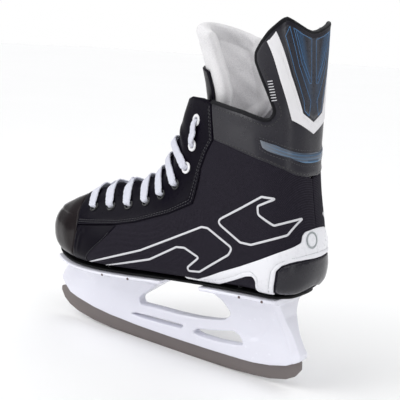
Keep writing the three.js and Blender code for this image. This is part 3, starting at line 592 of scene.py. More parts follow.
def ribbon_parts(path, width, height, sink=0.4, closed=False):
    """A raised printed line along a path on the form."""
    centre = on_form(path, 0)
    normal = form_normal(path[:, 0], path[:, 1])
    if closed:
        tangent = unit(np.roll(centre, -1, axis=0) - np.roll(centre, 1, axis=0))
    else:
        tangent = unit(np.gradient(centre, axis=0))
    across = unit(np.cross(normal, tangent))
    profile = [(-0.5, -sink), (-0.5, height * 0.5), (-0.36, height), (0.36, height), (0.5, height * 0.5),
               (0.5, -sink)]
    points = np.concatenate([(centre + across * width * a + normal * h)[:, None] for a, h in profile], axis=1)
    n, m = len(centre), len(profile)
    faces = []
    for i in range(n if closed else n - 1):
        j = (i + 1) % n
        for k in range(m):
            faces.append((i * m + k, j * m + k, j * m + (k + 1) % m, i * m + (k + 1) % m))
    if not closed:
        faces += [tuple(range(m))[::-1], tuple((n - 1) * m + k for k in range(m))]
    return points.reshape(-1, 3), faces


def grid_faces(rows, columns, wrap=False, flip=False):
    faces = []
    for i in range(rows - 1):
        for k in range(columns if wrap else columns - 1):
            m = (k + 1) % columns
            f = (i * columns + k, (i + 1) * columns + k, (i + 1) * columns + m, i * columns + m)
            faces.append(f[::-1] if flip else f)
    return faces


def lathe(profile, around, place, axis):
    """A turned piece: profile is [radius, height] from its axis."""
    axis = unit(np.asarray(axis, float))
    side = unit(np.cross(axis, [0.2, 0.3, 0.93] if abs(axis[2]) < 0.9 else [1, 0, 0]))
    other = np.cross(axis, side)
    points, faces = [], []
    for r, h in profile:
        for k in range(around):
            a = 2 * math.pi * k / around
            points.append(place + axis * h + side * r * math.cos(a) + other * r * math.sin(a))
    m = len(profile)
    for i in range(m - 1):
        for k in range(around):
            n = (k + 1) % around
            faces.append((i * around + k, i * around + n, (i + 1) * around + n, (i + 1) * around + k))
    return np.array(points), faces

# ---------------------------------------------------------------- materials


class Shader:
    """A node material built by short calls."""

    def __init__(self, name, color, roughness, metallic=0.0, **sockets):
        self.material = bpy.data.materials.new(name)
        self.material.use_nodes = True
        self.tree = self.material.node_tree
        self.bsdf = self.tree.nodes["Principled BSDF"]
        self.set("Base Color", (*color, 1))
        self.set("Roughness", roughness)
        self.set("Metallic", metallic)
        for key, value in sockets.items():
            self.set(key.replace("_", " "), value)
        self.color = color
        self.bump_height = None

    def set(self, key, value):
        self.bsdf.inputs[key].default_value = value

    def node(self, kind, **values):
        n = self.tree.nodes.new(kind)
        for key, value in values.items():
            setattr(n, key, value)
        return n

    def link(self, a, b):
        self.tree.links.new(a, b)

    def place(self, stretch=(1, 1, 1)):
        """Object coordinates in millimetres, stretched."""
        coords = self.node("ShaderNodeTexCoord")
        mapping = self.node("ShaderNodeMapping")
        mapping.inputs["Scale"].default_value = [1000 * k for k in stretch]
        self.link(coords.outputs["Object"], mapping.inputs["Vector"])
        return mapping.outputs["Vector"]

    def attribute(self, name, output="Vector"):
        n = self.node("ShaderNodeAttribute")
        n.attribute_name = name
        return n.outputs[output]

    def math(self, operation, a, b=None, c=None):
        n = self.node("ShaderNodeMath", operation=operation)
        for i, value in enumerate((a, b, c)):
            if value is None:
                continue
            if isinstance(value, (int, float)):
                n.inputs[i].default_value = value
            else:
                self.link(value, n.inputs[i])
        return n.outputs[0]

    def noise(self, scale, vector=None, detail=2.0, roughness=0.5):
        n = self.node("ShaderNodeTexNoise")
        n.inputs["Scale"].default_value = scale
        n.inputs["Detail"].default_value = detail
        n.inputs["Roughness"].default_value = roughness
        self.link(vector if vector is not None else self.place(), n.inputs["Vector"])
        return n.outputs["Fac"]

    def cells(self, scale, vector=None):
        n = self.node("ShaderNodeTexVoronoi")
        n.inputs["Scale"].default_value = scale
        self.link(vector if vector is not None else self.place(), n.inputs["Vector"])
        return n.outputs["Distance"]

    def ramp(self, value, low, high, start=0.0, end=1.0):
        n = self.node("ShaderNodeMapRange")
        n.inputs["From Min"].default_value, n.inputs["From Max"].default_value = low, high
        n.inputs["To Min"].default_value, n.inputs["To Max"].default_value = start, end
        self.link(value, n.inputs["Value"])
        return n.outputs["Result"]

    def mix_color(self, share, a, b):
        n = self.node("ShaderNodeMix", data_type="RGBA")
        if isinstance(share, (int, float)):
            n.inputs[0].default_value = share
        else:
            self.link(share, n.inputs[0])
        for index, value in ((6, a), (7, b)):
            if isinstance(value, tuple):
                n.inputs[index].default_value = (*value, 1)
            else:
                self.link(value, n.inputs[index])
        return n.outputs[2]

    def paint(self, color):
        self.link(color, self.bsdf.inputs["Base Color"])

    def rough(self, value):
        self.link(value, self.bsdf.inputs["Roughness"])

    def bump(self, height, strength, distance):
        n = self.node("ShaderNodeBump")
        n.inputs["Strength"].default_value = strength
        n.inputs["Distance"].default_value = distance * MM
        self.link(height, n.inputs["Height"])
        if self.bump_height is not None:
            self.link(self.bump_height, n.inputs["Normal"])
        self.bump_height = n.outputs["Normal"]
        self.link(self.bump_height, self.bsdf.inputs["Normal"])


def scaled(color, k):
    return tuple(min(1.0, c * k) for c in color)


def leather(name, color, roughness, grain=1.1, strength=0.35, variation=0.25, **sockets):
    sockets.setdefault("Specular_IOR_Level", 0.1)
    s = Shader(name, color, roughness, **sockets)
    large = s.noise(0.045, detail=3)
    s.paint(s.mix_color(large, scaled(color, 1 - variation), scaled(color, 1 + variation)))
    cell = s.cells(1 / grain)
    s.rough(s.ramp(s.noise(0.3, detail=3), 0.3, 0.7, roughness * 0.85, roughness * 1.2))
    s.bump(cell, strength, 0.12)
    s.bump(s.noise(0.12, detail=2), 0.25, 0.5)
    return s.material


def weave(name, color, light, period=1.5):
    """Ballistic cloth: plain weave on the bias, from the map of the boot in millimetres."""
    s = Shader(name, color, 0.78, Specular_IOR_Level=0.1)
    split = s.node("ShaderNodeSeparateXYZ")
    s.link(s.attribute("flat"), split.inputs[0])
    u, v = split.outputs[0], split.outputs[1]
    k = 2 * math.pi / period
    warp = s.math("SINE", s.math("MULTIPLY", s.math("ADD", u, v), k * 0.7))
    weft = s.math("SINE", s.math("MULTIPLY", s.math("SUBTRACT", u, v), k * 0.7))
    thread = s.math("MULTIPLY_ADD", s.math("MULTIPLY", warp, weft), 0.5, 0.5)
    fuzz = s.noise(1.6, detail=3)
    share = s.math("MULTIPLY", s.math("POWER", thread, 2.2), s.ramp(fuzz, 0.3, 0.7, 0.35, 1.0))
    s.paint(s.mix_color(share, color, light))
    s.rough(s.ramp(thread, 0, 1, 0.9, 0.6))
    s.bump(thread, 0.7, 0.25)
    s.bump(s.noise(0.1, detail=2), 0.2, 0.6)
    return s.material


def felt(name, color, dark, fibre=1.1, strength=0.5):
    s = Shader(name, color, 0.95, Sheen_Weight=0.25, Sheen_Roughness=0.6)
    fine = s.noise(fibre, detail=4, roughness=0.7)
    broad = s.noise(0.06, detail=3)
    s.paint(s.mix_color(s.math("MULTIPLY", s.ramp(fine, 0.35, 0.75), s.ramp(broad, 0.3, 0.7, 0.5, 1)), color,
                        dark))
    s.bump(fine, strength, 0.5)
    s.bump(s.noise(0.18, detail=2), 0.35, 1.0)
    return s.material


def plastic(name, color, roughness, mottle=0.03, **sockets):
    s = Shader(name, color, roughness, **sockets)
    s.paint(s.mix_color(s.noise(0.05, detail=3), scaled(color, 1 - mottle), scaled(color, 1 + mottle)))
    s.rough(s.ramp(s.noise(0.25, detail=3), 0.3, 0.7, roughness * 0.8, roughness * 1.25))
    s.bump(s.noise(0.9, detail=2), 0.05, 0.1)
    return s.material


def ground_steel(name, color, roughness, metallic):
    s = Shader(name, color, roughness, metallic)
    streak = s.noise(1.0, s.place((0.03, 2.0, 2.6)), detail=3)
    broad = s.noise(0.02, detail=2)
    s.paint(s.mix_color(s.math("MULTIPLY", streak, broad), scaled(color, 0.8), scaled(color, 1.25)))
    s.rough(s.ramp(streak, 0.3, 0.7, roughness * 0.8, roughness * 1.2))
    s.bump(streak, 0.12, 0.05)
    return s.material


def braid(name, color, dark):
    """Flat lace: a plait of fine yarns, from distances along and across the lace in millimetres."""
    s = Shader(name, color, 0.85, Sheen_Weight=0.15)
    split = s.node("ShaderNodeSeparateXYZ")
    s.link(s.attribute("flat"), split.inputs[0])
    u, v = split.outputs[0], split.outputs[1]
    left = s.math("SINE", s.math("MULTIPLY", s.math("ADD", u, s.math("MULTIPLY", v, 1.2)), 3.6))
    right = s.math("SINE", s.math("MULTIPLY", s.math("SUBTRACT", u, s.math("MULTIPLY", v, 1.2)), 3.6))
    yarn = s.math("MULTIPLY_ADD", s.math("MULTIPLY", left, right), 0.5, 0.5)
    s.paint(s.mix_color(s.ramp(s.math("MULTIPLY", yarn, s.noise(1.2, detail=3)), 0.1, 0.55), dark, color))
    s.bump(yarn, 0.7, 0.35)
    return s.material


BLACK = (0.0026, 0.0016, 0.0056)
MAT = {
    "toe_leather": leather("toe_leather", (0.008, 0.0045, 0.0055), 0.22, 1.4, 0.12, 0.3,
                           Specular_IOR_Level=0.12),
    "leather": leather("leather", BLACK, 0.3, 1.0, 0.22, Specular_IOR_Level=0.06),
    "patch_leather": leather("patch_leather", BLACK, 0.34, 1.2, 0.25, Specular_IOR_Level=0.06),
    "collar_leather": leather("collar_leather", (0.008, 0.007, 0.013), 0.3, 0.9, 0.22,
                              Specular_IOR_Level=0.4),
    "binding": leather("binding", (0.007, 0.007, 0.009), 0.4, 0.9, 0.4),
    "weave": weave("weave", (0.0035, 0.0028, 0.006), (0.066, 0.058, 0.082)),
    "felt": felt("felt", (0.82, 0.81, 0.82), (0.55, 0.54, 0.56)),
    "lining_felt": felt("lining_felt", (0.72, 0.71, 0.73), (0.42, 0.42, 0.45), 0.8, 0.7),
    "holder": plastic("holder", (0.8, 0.8, 0.88), 0.22, 0.02, Coat_Weight=0.25),
    "support": plastic("support", (0.8, 0.8, 0.84), 0.3, 0.02),
    "painted_rivet_shadow": plastic("painted_rivet_shadow", (0.09, 0.05, 0.05), 0.4),
    # painted shadow: dark reddish colour for the rim studs that stand in for the rivets' shadows under the
    # flange
    "groove": plastic("groove", (0.33, 0.36, 0.37), 0.5),
    "counter": leather("counter", (0.010, 0.009, 0.015), 0.24, 1.6, 0.04, 0.12, Specular_IOR_Level=0.4),
    "rubber": leather("rubber", (0.008, 0.008, 0.009), 0.5, 0.8, 0.25),
    "white_print": plastic("white_print", (0.62, 0.62, 0.65), 0.45),
    "white_vinyl": leather("white_vinyl", (0.78, 0.77, 0.79), 0.42, 1.1, 0.25, 0.03),
    "thread": felt("thread", (0.004, 0.004, 0.005), (0.002, 0.002, 0.003), 2.0),
    "grey_thread": felt("grey_thread", (0.035, 0.035, 0.042), (0.02, 0.02, 0.025), 2.0),
    "blue_line": plastic("blue_line", (0.05, 0.16, 0.34), 0.4),
    "steel": ground_steel("steel", (0.2, 0.175, 0.17), 0.42, 0.5),
    "rivet": ground_steel("rivet", (0.55, 0.55, 0.57), 0.3, 1.0),
    "eyelet_white": plastic("eyelet_white", (0.82, 0.82, 0.84), 0.25),
    "eyelet_black": plastic("eyelet_black", (0.012, 0.012, 0.013), 0.16, 0.1),
    "lace": braid("lace", (0.82, 0.83, 0.92), (0.6, 0.61, 0.7)),
    "board": leather("board", (0.28, 0.2, 0.13), 0.8, 1.4, 0.3),
    "footbed": felt("footbed", (0.06, 0.06, 0.07), (0.03, 0.03, 0.035), 1.2, 0.7),
}


def finish_piece(piece, material, body="root", nodes=()):
    piece.data.materials.clear()
    piece.data.materials.append(MAT[material])
    if body:
        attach(piece, body)
    if nodes:
        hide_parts(*nodes)
    return piece


# ---------------------------------------------------------------- seams in side view, as in the CAD model

TOE_SEAM = [[-97, 131], [-87, 126], [-79, 113], [-76.5, 103], [-79, 88], [-86, 72]]
FACING_LOWER = [[-76.5, 108.5], [-32, 116], [-13, 121], [21, 134], [44, 146, 5]]
FACING_REAR = [[44, 146, 5], [48, 176], [53, 190], [59, 200], [56.5, 216], [54.5, 229.5, 4]]
FACING_TOP = [[54.5, 229.5, 4], [40, 231.5], [29, 231.5, 4], [20.5, 228.5], [16, 223], [13, 214]]
COLLAR_TOP = [[54.5, 229.5], [71, 227], [87, 224.5], [100, 221.5], [110.5, 219.5, 7], [115.5, 227, 9],
              [110, 240], [103, 254], [98.5, 264, 7], [98.5, 270, 6], [103, 277], [109, 285], [114, 290],
              [117.5, 294.2, 5]]
COLLAR_SEAM = [[59, 200], [80, 196], [97, 192], [112, 188.5], [123, 184], [133, 177]]
NOTCH = [[32, 295.4, 5], [19, 291], [0, 286.5, 8]]


def mirror(path):
    return path * np.array([1, -1])


def through_toe(path):
    """The same points with lateral angles counted on from pi, for maps centred on the instep."""
    return np.stack([path[:, 0], np.where(path[:, 1] < 0, path[:, 1] + 2 * math.pi, path[:, 1])], -1)


def along_angle(s_values, psi_values, count=60):
    t = np.linspace(0, len(s_values) - 1, count)
    k = np.arange(len(s_values))
    return np.stack([np.interp(t, k, s_values), np.interp(t, k, psi_values)], -1)


def chain(*paths):
    """Paths end to end as one closed outline, without doubled points."""
    points = np.vstack(paths)
    keep = [0]
    for i in range(1, len(points)):
        a = form_point(*points[keep[-1]])
        b = form_point(*points[i])
        if np.linalg.norm(a - b) > 0.25:
            keep.append(i)
    first, last = form_point(*points[keep[0]]), form_point(*points[keep[-1]])
    if np.linalg.norm(first - last) < 0.25:
        keep.pop()
    return points[keep]


# ---------------------------------------------------------------- runner, holder and sole


def flat_body(name, outline, holes, half_width, spacing, edge, extra_rows=(), middle=0.0):
    """A body cut from its side view, with a half width that changes over it and rounded edges."""
    loops = [np.array(outline)] + [np.array(h) for h in holes]
    rings = []
    for i, loop in enumerate(loops):
        tangent = unit(np.roll(loop, -1, axis=0) - np.roll(loop, 1, axis=0))
        inward = np.stack([-tangent[:, 1], tangent[:, 0]], -1)
        test = inside(loops[0], loop + inward * 0.2)
        for hole in loops[1:]:
            test &= ~inside(hole, loop + inward * 0.2)
        if test.mean() < 0.5:
            inward = -inward
        for share in (0.15, 0.45, 1.0):
            rings.append(loop + inward * share * edge)
    low, high = loops[0].min(0), loops[0].max(0)
    lattice = np.array([(x, z) for i, x in enumerate(np.arange(low[0], high[0], spacing))
                        for z in np.r_[np.arange(low[1], high[1], spacing) + (i % 2) * spacing / 2]])
    if len(extra_rows):
        lattice = np.vstack([lattice, extra_rows])
    near = KDTree(sum(len(r) for r in rings) + sum(len(p) for p in loops))
    k = 0
    for group in (*rings, *loops):
        for p in group:
            near.insert((p[0], p[1], 0), k)
            k += 1
    near.balance()
    lattice = lattice[[near.find((x, z, 0))[2] > 0.45 for x, z in lattice]]
    points = np.vstack([lattice, *rings])
    keep = inside(loops[0], points)
    for hole in loops[1:]:
        keep &= ~inside(hole, points)
    flat, faces = triangulate(loops, points[keep])
    flat3 = np.c_[flat, np.zeros(len(flat))]
    gap = distance_to([np.c_[p, np.zeros(len(p))] for p in loops], flat3)
    half = half_width(flat[:, 0], flat[:, 1])
    half = np.maximum(half - rolled(gap, edge), 0.3)
    shift = middle(flat[:, 0], flat[:, 1]) if callable(middle) else middle
    near_side = np.stack([flat[:, 0], shift - half, flat[:, 1]], -1)
    far_side = np.stack([flat[:, 0], shift + half, flat[:, 1]], -1)
    area = (flat[faces[:, 1], 0] - flat[faces[:, 0], 0]) * (flat[faces[:, 2], 1] - flat[faces[:, 0], 1]) \
        - (flat[faces[:, 2], 0] - flat[faces[:, 0], 0]) * (flat[faces[:, 1], 1] - flat[faces[:, 0], 1])
    faces = np.where((area < 0)[:, None], faces[:, ::-1], faces)
    n = len(flat)
    walls = [(b, a, a + n, b + n) for a, b in boundary_edges(faces)]
    piece = add_mesh(name, np.vstack([near_side, far_side]),
                     [tuple(f) for f in faces] + [tuple(f[::-1] + n) for f in faces] + walls)
    set_flat(piece, np.vstack([flat, flat]))
    return piece


RUNNER_BOTTOM = [[-141, 23], [-136.5, 16], [-129, 10.6], [-117, 6.2], [-95, 2.4], [-70, 0.7], [-40, 0.1],
                 [-25, 0], [25, 0], [45, 0.2], [70, 0.8], [93, 2.2], [109, 4.2], [124, 8], [132, 12.5],
                 [137, 19.5]]
RUNNER_TOP = [[-141, 27.5], [-129, 23], [-118, 19.7], [-96, 15.4], [-74, 13.1], [-43, 11.9], [0, 11.4],
              [42, 11.6], [68, 12.2], [92, 13.7], [108, 16], [123, 20], [131, 23], [136.5, 25.5]]
HOLDER_OUTLINE = [
    [-135.5, 31, 3], [-138, 38, 5], [-131, 47, 8], [-123, 56, 8], [-117, 76, 2]]
HOLDER_REAR = [[123.5, 80, 1], [121.5, 72, 6], [123.5, 62, 10], [129, 50, 10], [133.5, 41, 8],
               [138.3, 32.5, 4], [138.2, 28.2, 2.5]]
WINDOW = [[9, 70, 6], [-5, 64.5, 6], [-16, 57, 6], [-37.5, 41, 4.5], [-36, 34.8, 3.5], [-15, 35.9, 4],
          [8, 36.6], [30, 38.4], [47, 41, 8], [59, 43.8, 7], [67.5, 50.8, 5.5], [60, 61, 8], [52, 71, 4],
          [50, 78.6, 2.5], [14, 76.6, 2.5], [12, 73, 2]]
FRONT_SLOT = [[-46, 22.6, 1], [-30, 22.2], [-8, 22.8], [14, 24.2, 1.2], [17.5, 27.6, 1.2], [0, 27.4],
              [-20, 26.4], [-40, 24.8, 1]]
REAR_SLOT = [[26, 24, 2], [34, 22.6, 3], [53, 22.8], [72, 25, 4], [81, 27.5, 1.5], [76, 34.2, 4],
             [69, 36.4, 4], [50, 31.8], [32, 28.4, 2.5]]

SOLE_S = np.linspace(0, 12, 481)
SOLE_Q = spline(FORM, SOLE_S)


def sole_height(x):
    return np.interp(x, SOLE_Q[:, 0], SOLE_Q[:, 1])


def sole_half(x):
    return np.interp(x, SOLE_Q[:, 0], spline(SOLE_WIDTH, SOLE_S))


def sole_shift(x):
    return np.interp(x, SOLE_Q[:, 0], SOLE_Q[:, 8])


def holder_top(x):
    rear = np.where(x > 124, sole_height(124.0), sole_height(x))
    return np.where(x < -128, sole_height(-128.0), rear) - 3.8


def smooth01(x, a, b):
    t = np.clip((x - a) / (b - a), 0, 1)
    return t * t * (3 - 2 * t)


def holder_half(x, z):
    """Half width of the holder: slim above the runner, flared to the rim under the outsole."""
    top = holder_top(x)
    rim = np.maximum(sole_half(np.clip(x, -131, 124)) - 2.2, 12)
    rise = np.clip((z - 28) / (top - 28), 0, 1)
    flank = 4.6 + 7.5 * smooth01(rise, 0.3, 0.9)
    flare = (rim * 0.6 - 12) * smooth01(rise, 0.66, 0.97) + rim * 0.4 * smooth01(top - z, 6.5, 2.6)
    crease = np.hypot(x - 62, z - 74) - 50
    step = 0.9 * smooth01(crease, -1.2, 1.2) * smooth01(x, 70, 84) * (1 - smooth01(rise, 0.55, 0.8))
    lower = 0.8 * (1 - smooth01(z, 33, 38)) * smooth01(x + 60, 0, 30)
    waves = 0.8 * np.sin((x + 0.35 * z) / 6.5) * smooth01(-x, 70, 95) * smooth01(rise, 0.2, 0.5)
    waves = waves * (1 - smooth01(rise, 0.8, 1))
    toe = 3.5 * smooth01(-x, 100, 132) * smooth01(z, 30, 48) * (1 - smooth01(rise, 0.75, 1))
    edge = 1.6 * np.exp(-((x - (136.5 - 0.40 * (z - 32) - 5.5)) / 2.2) ** 2) * smooth01(x, 112, 120)
    edge = edge * (1 - smooth01(rise, 0.6, 0.9))
    return flank + np.maximum(flare, 0) + step + lower + waves + toe + edge


def add_runner():
    outline = rounded([[x, z, 3] for x, z in RUNNER_BOTTOM] + [[136.5, 26.5, 2]]
                      + [[x, z + 6.5, 0] for x, z in RUNNER_TOP[::-1][1:-1]] + [[-141, 27.5, 2]], step=1.2)
    piece = flat_body("runner_blade", outline, [], lambda x, z: np.full(len(x), 1.5), 4.0, 0.35)
    finish_piece(piece, "steel", "root", ["runner"])


def add_holder():
    bottom = [[x + 2.4, z + 1.3] for x, z in RUNNER_TOP[1:-2]]
    tops = np.arange(-116, 122.5, 1.5)
    top = [[x, float(holder_top(x)), 0] for x in tops]
    outline = rounded([[-134.5, 31.5, 3], *HOLDER_OUTLINE[1:-1], [-117.5, float(holder_top(-117.5)), 0]] + top
                      + [[123.4, float(holder_top(123.4)), 0]] + HOLDER_REAR[1:] + bottom[::-1], step=1.1)
    rows = []
    for x in np.arange(-130, 132, 2.0):
        for below in np.arange(0.8, 9, 0.8):
            rows.append((x, float(holder_top(x)) - below))
    holes = [rounded([[p[0] + shift, *p[1:]] for p in path], step=step)
             for path, shift, step in ((WINDOW, 2.0, 1.1), (FRONT_SLOT, 1.0, 0.8), (REAR_SLOT, 2.0, 0.9))]
    piece = flat_body("holder_shell", outline, holes, holder_half, 2.0, 1.3, rows,
                      lambda x, z: sole_shift(np.clip(x, -130, 126)) * (z / holder_top(x)) ** 3)
    finish_piece(piece, "holder", "root", ["holder"])
    # Small dark reddish studs on the rim's sides are painted shadow, standing in for the rivets' shadows
    # under the flange.
    rivet_shadow_studs = []
    for x in (-47, -19, 93, 113):
        s = float(np.interp(x, SOLE_Q[:, 0], SOLE_S))
        half = float(spline(SOLE_WIDTH, np.array([s]))[0]) - 2.2
        for side in SIDES:
            place = np.array([x, side * half, float(holder_top(x)) - 2.0])
            rivet_shadow_studs.append(lathe([(0.02, 0.5), (0.9, 0.4), (1.1, 0.1), (1.1, -1.5), (0.02, -1.5)], 14, place,
                               (0, side, -0.15)))
    finish_piece(joined("rim_rivet_shadow_studs", rivet_shadow_studs), "painted_rivet_shadow", "root")


def plate(name, s0, s1, low, high, inset, crown=0.0, columns=40, rows=150):
    """A plate that follows the sole profile between two heights above it, with round edges."""
    s = np.linspace(s0, s1, rows)
    q = spline(FORM, s)
    half = np.maximum(spline(SOLE_WIDTH, s) - inset, 1.0)
    ends = np.minimum((s - s0) * 26, (s1 - s) * 26)
    half = half * np.sqrt(np.clip(1 - (1 - np.clip(ends / 5, 0, 1)) ** 2, 0.04, 1)) ** 0.5
    points = []
    for i in range(rows):
        loop = []
        thick = (high - low) / 2
        for k in range(columns):
            a = 2 * math.pi * k / columns
            c, sn = math.cos(a), math.sin(a)
            y = half[i] * np.sign(c) * abs(c) ** 0.16
            z = (low + high) / 2 + thick * np.sign(sn) * abs(sn) ** 0.5
            z += crown * (y / half[i]) ** 2 * (1 if sn > 0 else 0.3)
            loop.append((q[i, 0], q[i, 8] + y, q[i, 1] + z))
        points.append(loop)
    points = np.array(points).reshape(-1, 3)
    faces = grid_faces(rows, columns, wrap=True)
    first = points[:columns].mean(0)
    last = points[-columns:].mean(0)
    n = len(points)
    points = np.vstack([points, first, last])
    faces += [(n, k, (k + 1) % columns) for k in range(columns)]
    faces += [(n + 1, (rows - 1) * columns + (k + 1) % columns, (rows - 1) * columns + k)
              for k in range(columns)]
    return add_mesh(name, points, [f[::-1] for f in faces])


def add_sole():
    finish_piece(plate("outsole_plate", 2.0, 11.6, -3.2, -0.3, 5.5), "rubber", "root",
                 ["outsole"])
    finish_piece(plate("footbed_skin", 2.5, 10.5, 4.8, 9.0, 13, crown=2.0), "footbed", "root",
                 ["footbed"])
    finish_piece(plate("insole_board_skin", 2.5, 10.8, 3.2, 4.6, 12), "board", "root",
                 ["insole_board"])
    for node in sorted(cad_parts):
        if "_rivet_" not in node:
            continue
        low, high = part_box(node)
        centre = np.array((low + high) / 2) / MM
        bottom, top = low[2] / MM, high[2] / MM
        profile = [(0.02, bottom - 0.1), (1.6, bottom), (2.9, bottom + 0.35), (3.6, bottom + 0.95),
                   (3.6, bottom + 1.2), (2.0, bottom + 1.2), (2.0, top - 0.9), (3.1, top - 0.9),
                   (2.6, top - 0.4), (0.02, top)]
        profile = [(r, h - centre[2]) for r, h in profile]
        piece = add_mesh(node + "_turned", *lathe(profile, 20, centre, (0, 0, 1)))
        finish_piece(piece, "rivet", "root", [node])


# ---------------------------------------------------------------- the upper's panels

LOW = 0.25                     # angle at which the panels turn in under the foot, above the outsole


def add_toe_cap():
    columns, rows = 190, 80
    psi = np.linspace(0, 2 * math.pi, columns, endpoint=False)
    seam = through_toe(side_path([[-96, 134], *TOE_SEAM[1:]], MEDIAL, smooth=True))
    order = np.argsort(seam[:, 1])
    angle = np.where(psi > math.pi, 2 * math.pi - psi, psi)
    s_seam = np.interp(angle, seam[order, 1], seam[order, 0])
    k = np.linspace(0.0, 1, rows) ** 1.25
    s = k[:, None] * s_seam[None, :]
    at = np.broadcast_to(psi, s.shape)
    base = form_point(s, at)
    normal = form_normal(np.maximum(s, 0.05), at)
    border = base[-1]
    gap = distance_to([border], base.reshape(-1, 3)).reshape(s.shape)
    height = 0.3 - rolled(gap, 1.0)
    ridge = base[..., 2] - (113.5 + 0.06 * (base[..., 0] + 110))
    height += 0.9 * smooth01(ridge, -1.4, 0.6) * smooth01(base[..., 0], -137, -128)
    height += 0.25 * np.sin(base[..., 0] * 0.21 + base[..., 2] * 0.13) * np.sin(base[..., 1] * 0.17)
    outer = base + normal * height[..., None]
    inner = base - normal * 2.6
    tip = outer[0].mean(0)
    tip_in = inner[0].mean(0) + np.array([2.6, 0, 0])
    inner[0] = inner[0] + np.array([2.6, 0, 0])
    n = rows * columns
    points = np.vstack([outer.reshape(-1, 3), inner.reshape(-1, 3), tip, tip_in])
    faces = grid_faces(rows, columns, wrap=True)
    faces += [tuple(n + i for i in f[::-1]) for f in faces]
    last = (rows - 1) * columns
    for c in range(columns):
        m = (c + 1) % columns
        faces.append((last + c, n + last + c, n + last + m, last + m))
        faces.append((2 * n, c, m))
        faces.append((2 * n + 1, n + m, n + c))
    piece = add_mesh("toe_cap_skin", points, faces)
    check_outward(piece)
    finish_piece(piece, "toe_leather", "root", ["toe_cap"])


def check_outward(piece):
    """Turns a closed mesh the right way out if its volume is negative."""
    mesh = piece.data
    mesh.calc_loop_triangles()
    co = np.array([v.co[:] for v in mesh.vertices])
    tri = np.array([t.vertices[:] for t in mesh.loop_triangles])
    volume = np.einsum("ij,ij->i", co[tri[:, 0]], np.cross(co[tri[:, 1]], co[tri[:, 2]])).sum()
    if volume < 0:
        mesh.flip_normals()


EYELET_HOLE = 3.4              # radius of the hole in the facing
EYELET_STATIONS = [13.2, 11.9, 10.5, 9.25, 8.1, 7.15, 6.35, 5.65, 5.0]
EYELET_ANGLE = [2.42, 2.38, 2.32, 2.26, 2.27, 2.28, 2.28, 2.28, 2.27]


def cad_angle(s, angle):
    """The CAD model's angle on the form, as the angle psi used here."""
    q = spline(FORM, s)
    c, sn = math.cos(angle), math.sin(angle)
    power = q[6] if c > 0 else q[7]
    return math.atan2(sn ** (2 / power), math.copysign(abs(c) ** (2 / power), c))


def throat_angle(s):
    """Angle of the facing's front edge at a station, from its distance to the middle of the boot."""
    q = spline(FORM, s)
    gap = 8.5 + (np.clip(s, 4.5, 16) - 4.5) / 9.5 * 4.0
    u = gap / q[4]
    v = (1 - u ** q[7]) ** (1 / q[7])
    return math.pi - math.atan2(u, v)


def facing_outline(side):
    lower = side_path(FACING_LOWER, side)
    rear = side_path(FACING_REAR[1:], side)
    top = side_path(FACING_TOP[:4], side)
    throat = np.array([(s, side * throat_angle(s)) for s in np.linspace(12.9, 4.35, 90)])
    toe = side_path(TOE_SEAM[:4], side)
    toe = toe[np.abs(toe[:, 1]) < throat_angle(4.35)]
    return chain(lower, rear, top, throat, toe)


def pucker(at, base, gap):
    """The facing's front edge is drawn up a little between the lace's crossings."""
    s = at[:, 0]
    near = np.array([throat_angle(v) for v in s])
    psi = np.where(at[:, 1] > math.pi, 2 * math.pi - at[:, 1], np.abs(at[:, 1]))
    reach = smooth01(psi, near - 0.55, near - 0.05)
    index = np.interp(s, EYELET_STATIONS[::-1], np.arange(9)[::-1])
    wave = 0.5 - 0.5 * np.cos(2 * math.pi * index)
    along = smooth01(s, 4.4, 5.0) * (1 - smooth01(s, 10.2, 12.0))
    return reach * ((wave * 2.6 - 0.4) * along + 0.6 + 1.0 * smooth01(s, 10, 12))


def add_facings():
    for side, word in SIDES.items():
        holes = []
        for s, angle in zip(EYELET_STATIONS, EYELET_ANGLE):
            psi = side * cad_angle(s, angle)
            h = 0.01
            pu = (form_point(s + h, psi) - form_point(s - h, psi)) / (2 * h)
            pv = (form_point(s, psi + h) - form_point(s, psi - h)) / (2 * h)
            frame2 = np.array([[pu @ pu, pu @ pv], [pu @ pv, pv @ pv]])
            e1 = unit(pu)
            e2 = unit(pv - e1 * (pv @ e1))
            ring = []
            for a in np.linspace(0, 2 * math.pi, 16, endpoint=False):
                d = (e1 * math.cos(a) + e2 * math.sin(a)) * EYELET_HOLE
                ring.append(np.array([s, psi]) + np.linalg.solve(frame2, np.array([pu @ d, pv @ d])))
            holes.append(np.array(ring))
        seam = side_path([[-76.5, 112.5], [-31, 119.5], [-12, 124.5], [20, 137], [40, 148.5, 4], [44.5, 176],
                          [49.5, 190.5], [55.5, 200.5], [53, 216], [51.5, 225]], side)
        piece = panel("facing_skin_" + word, TOE_MAP, through_toe(facing_outline(side)),
                      [through_toe(h) for h in holes], proud=1.1, depth=2.6, edge=0.9, spacing=2.0,
                      relief=pucker, grooves=[(through_toe(seam), 0.7, 0.25)])
        finish_piece(piece, "leather", "root", ["facing_" + word])
        parts = stitch_parts(seam, 0.95, pitch=2.9, length=2.1, thread=0.3)
        double = side_path([[-76.5, 110.6], [-31.5, 117.8], [-12.5, 122.8], [20.5, 135.5], [42.3, 147.2, 4],
                            [46.3, 176], [51.3, 190], [57.2, 200.2], [54.8, 216], [53, 226]], side)
        parts += stitch_parts(double, 0.95, pitch=2.9, length=2.1, thread=0.3)
        finish_piece(joined("facing_stitches_" + word, parts), "grey_thread", "root")


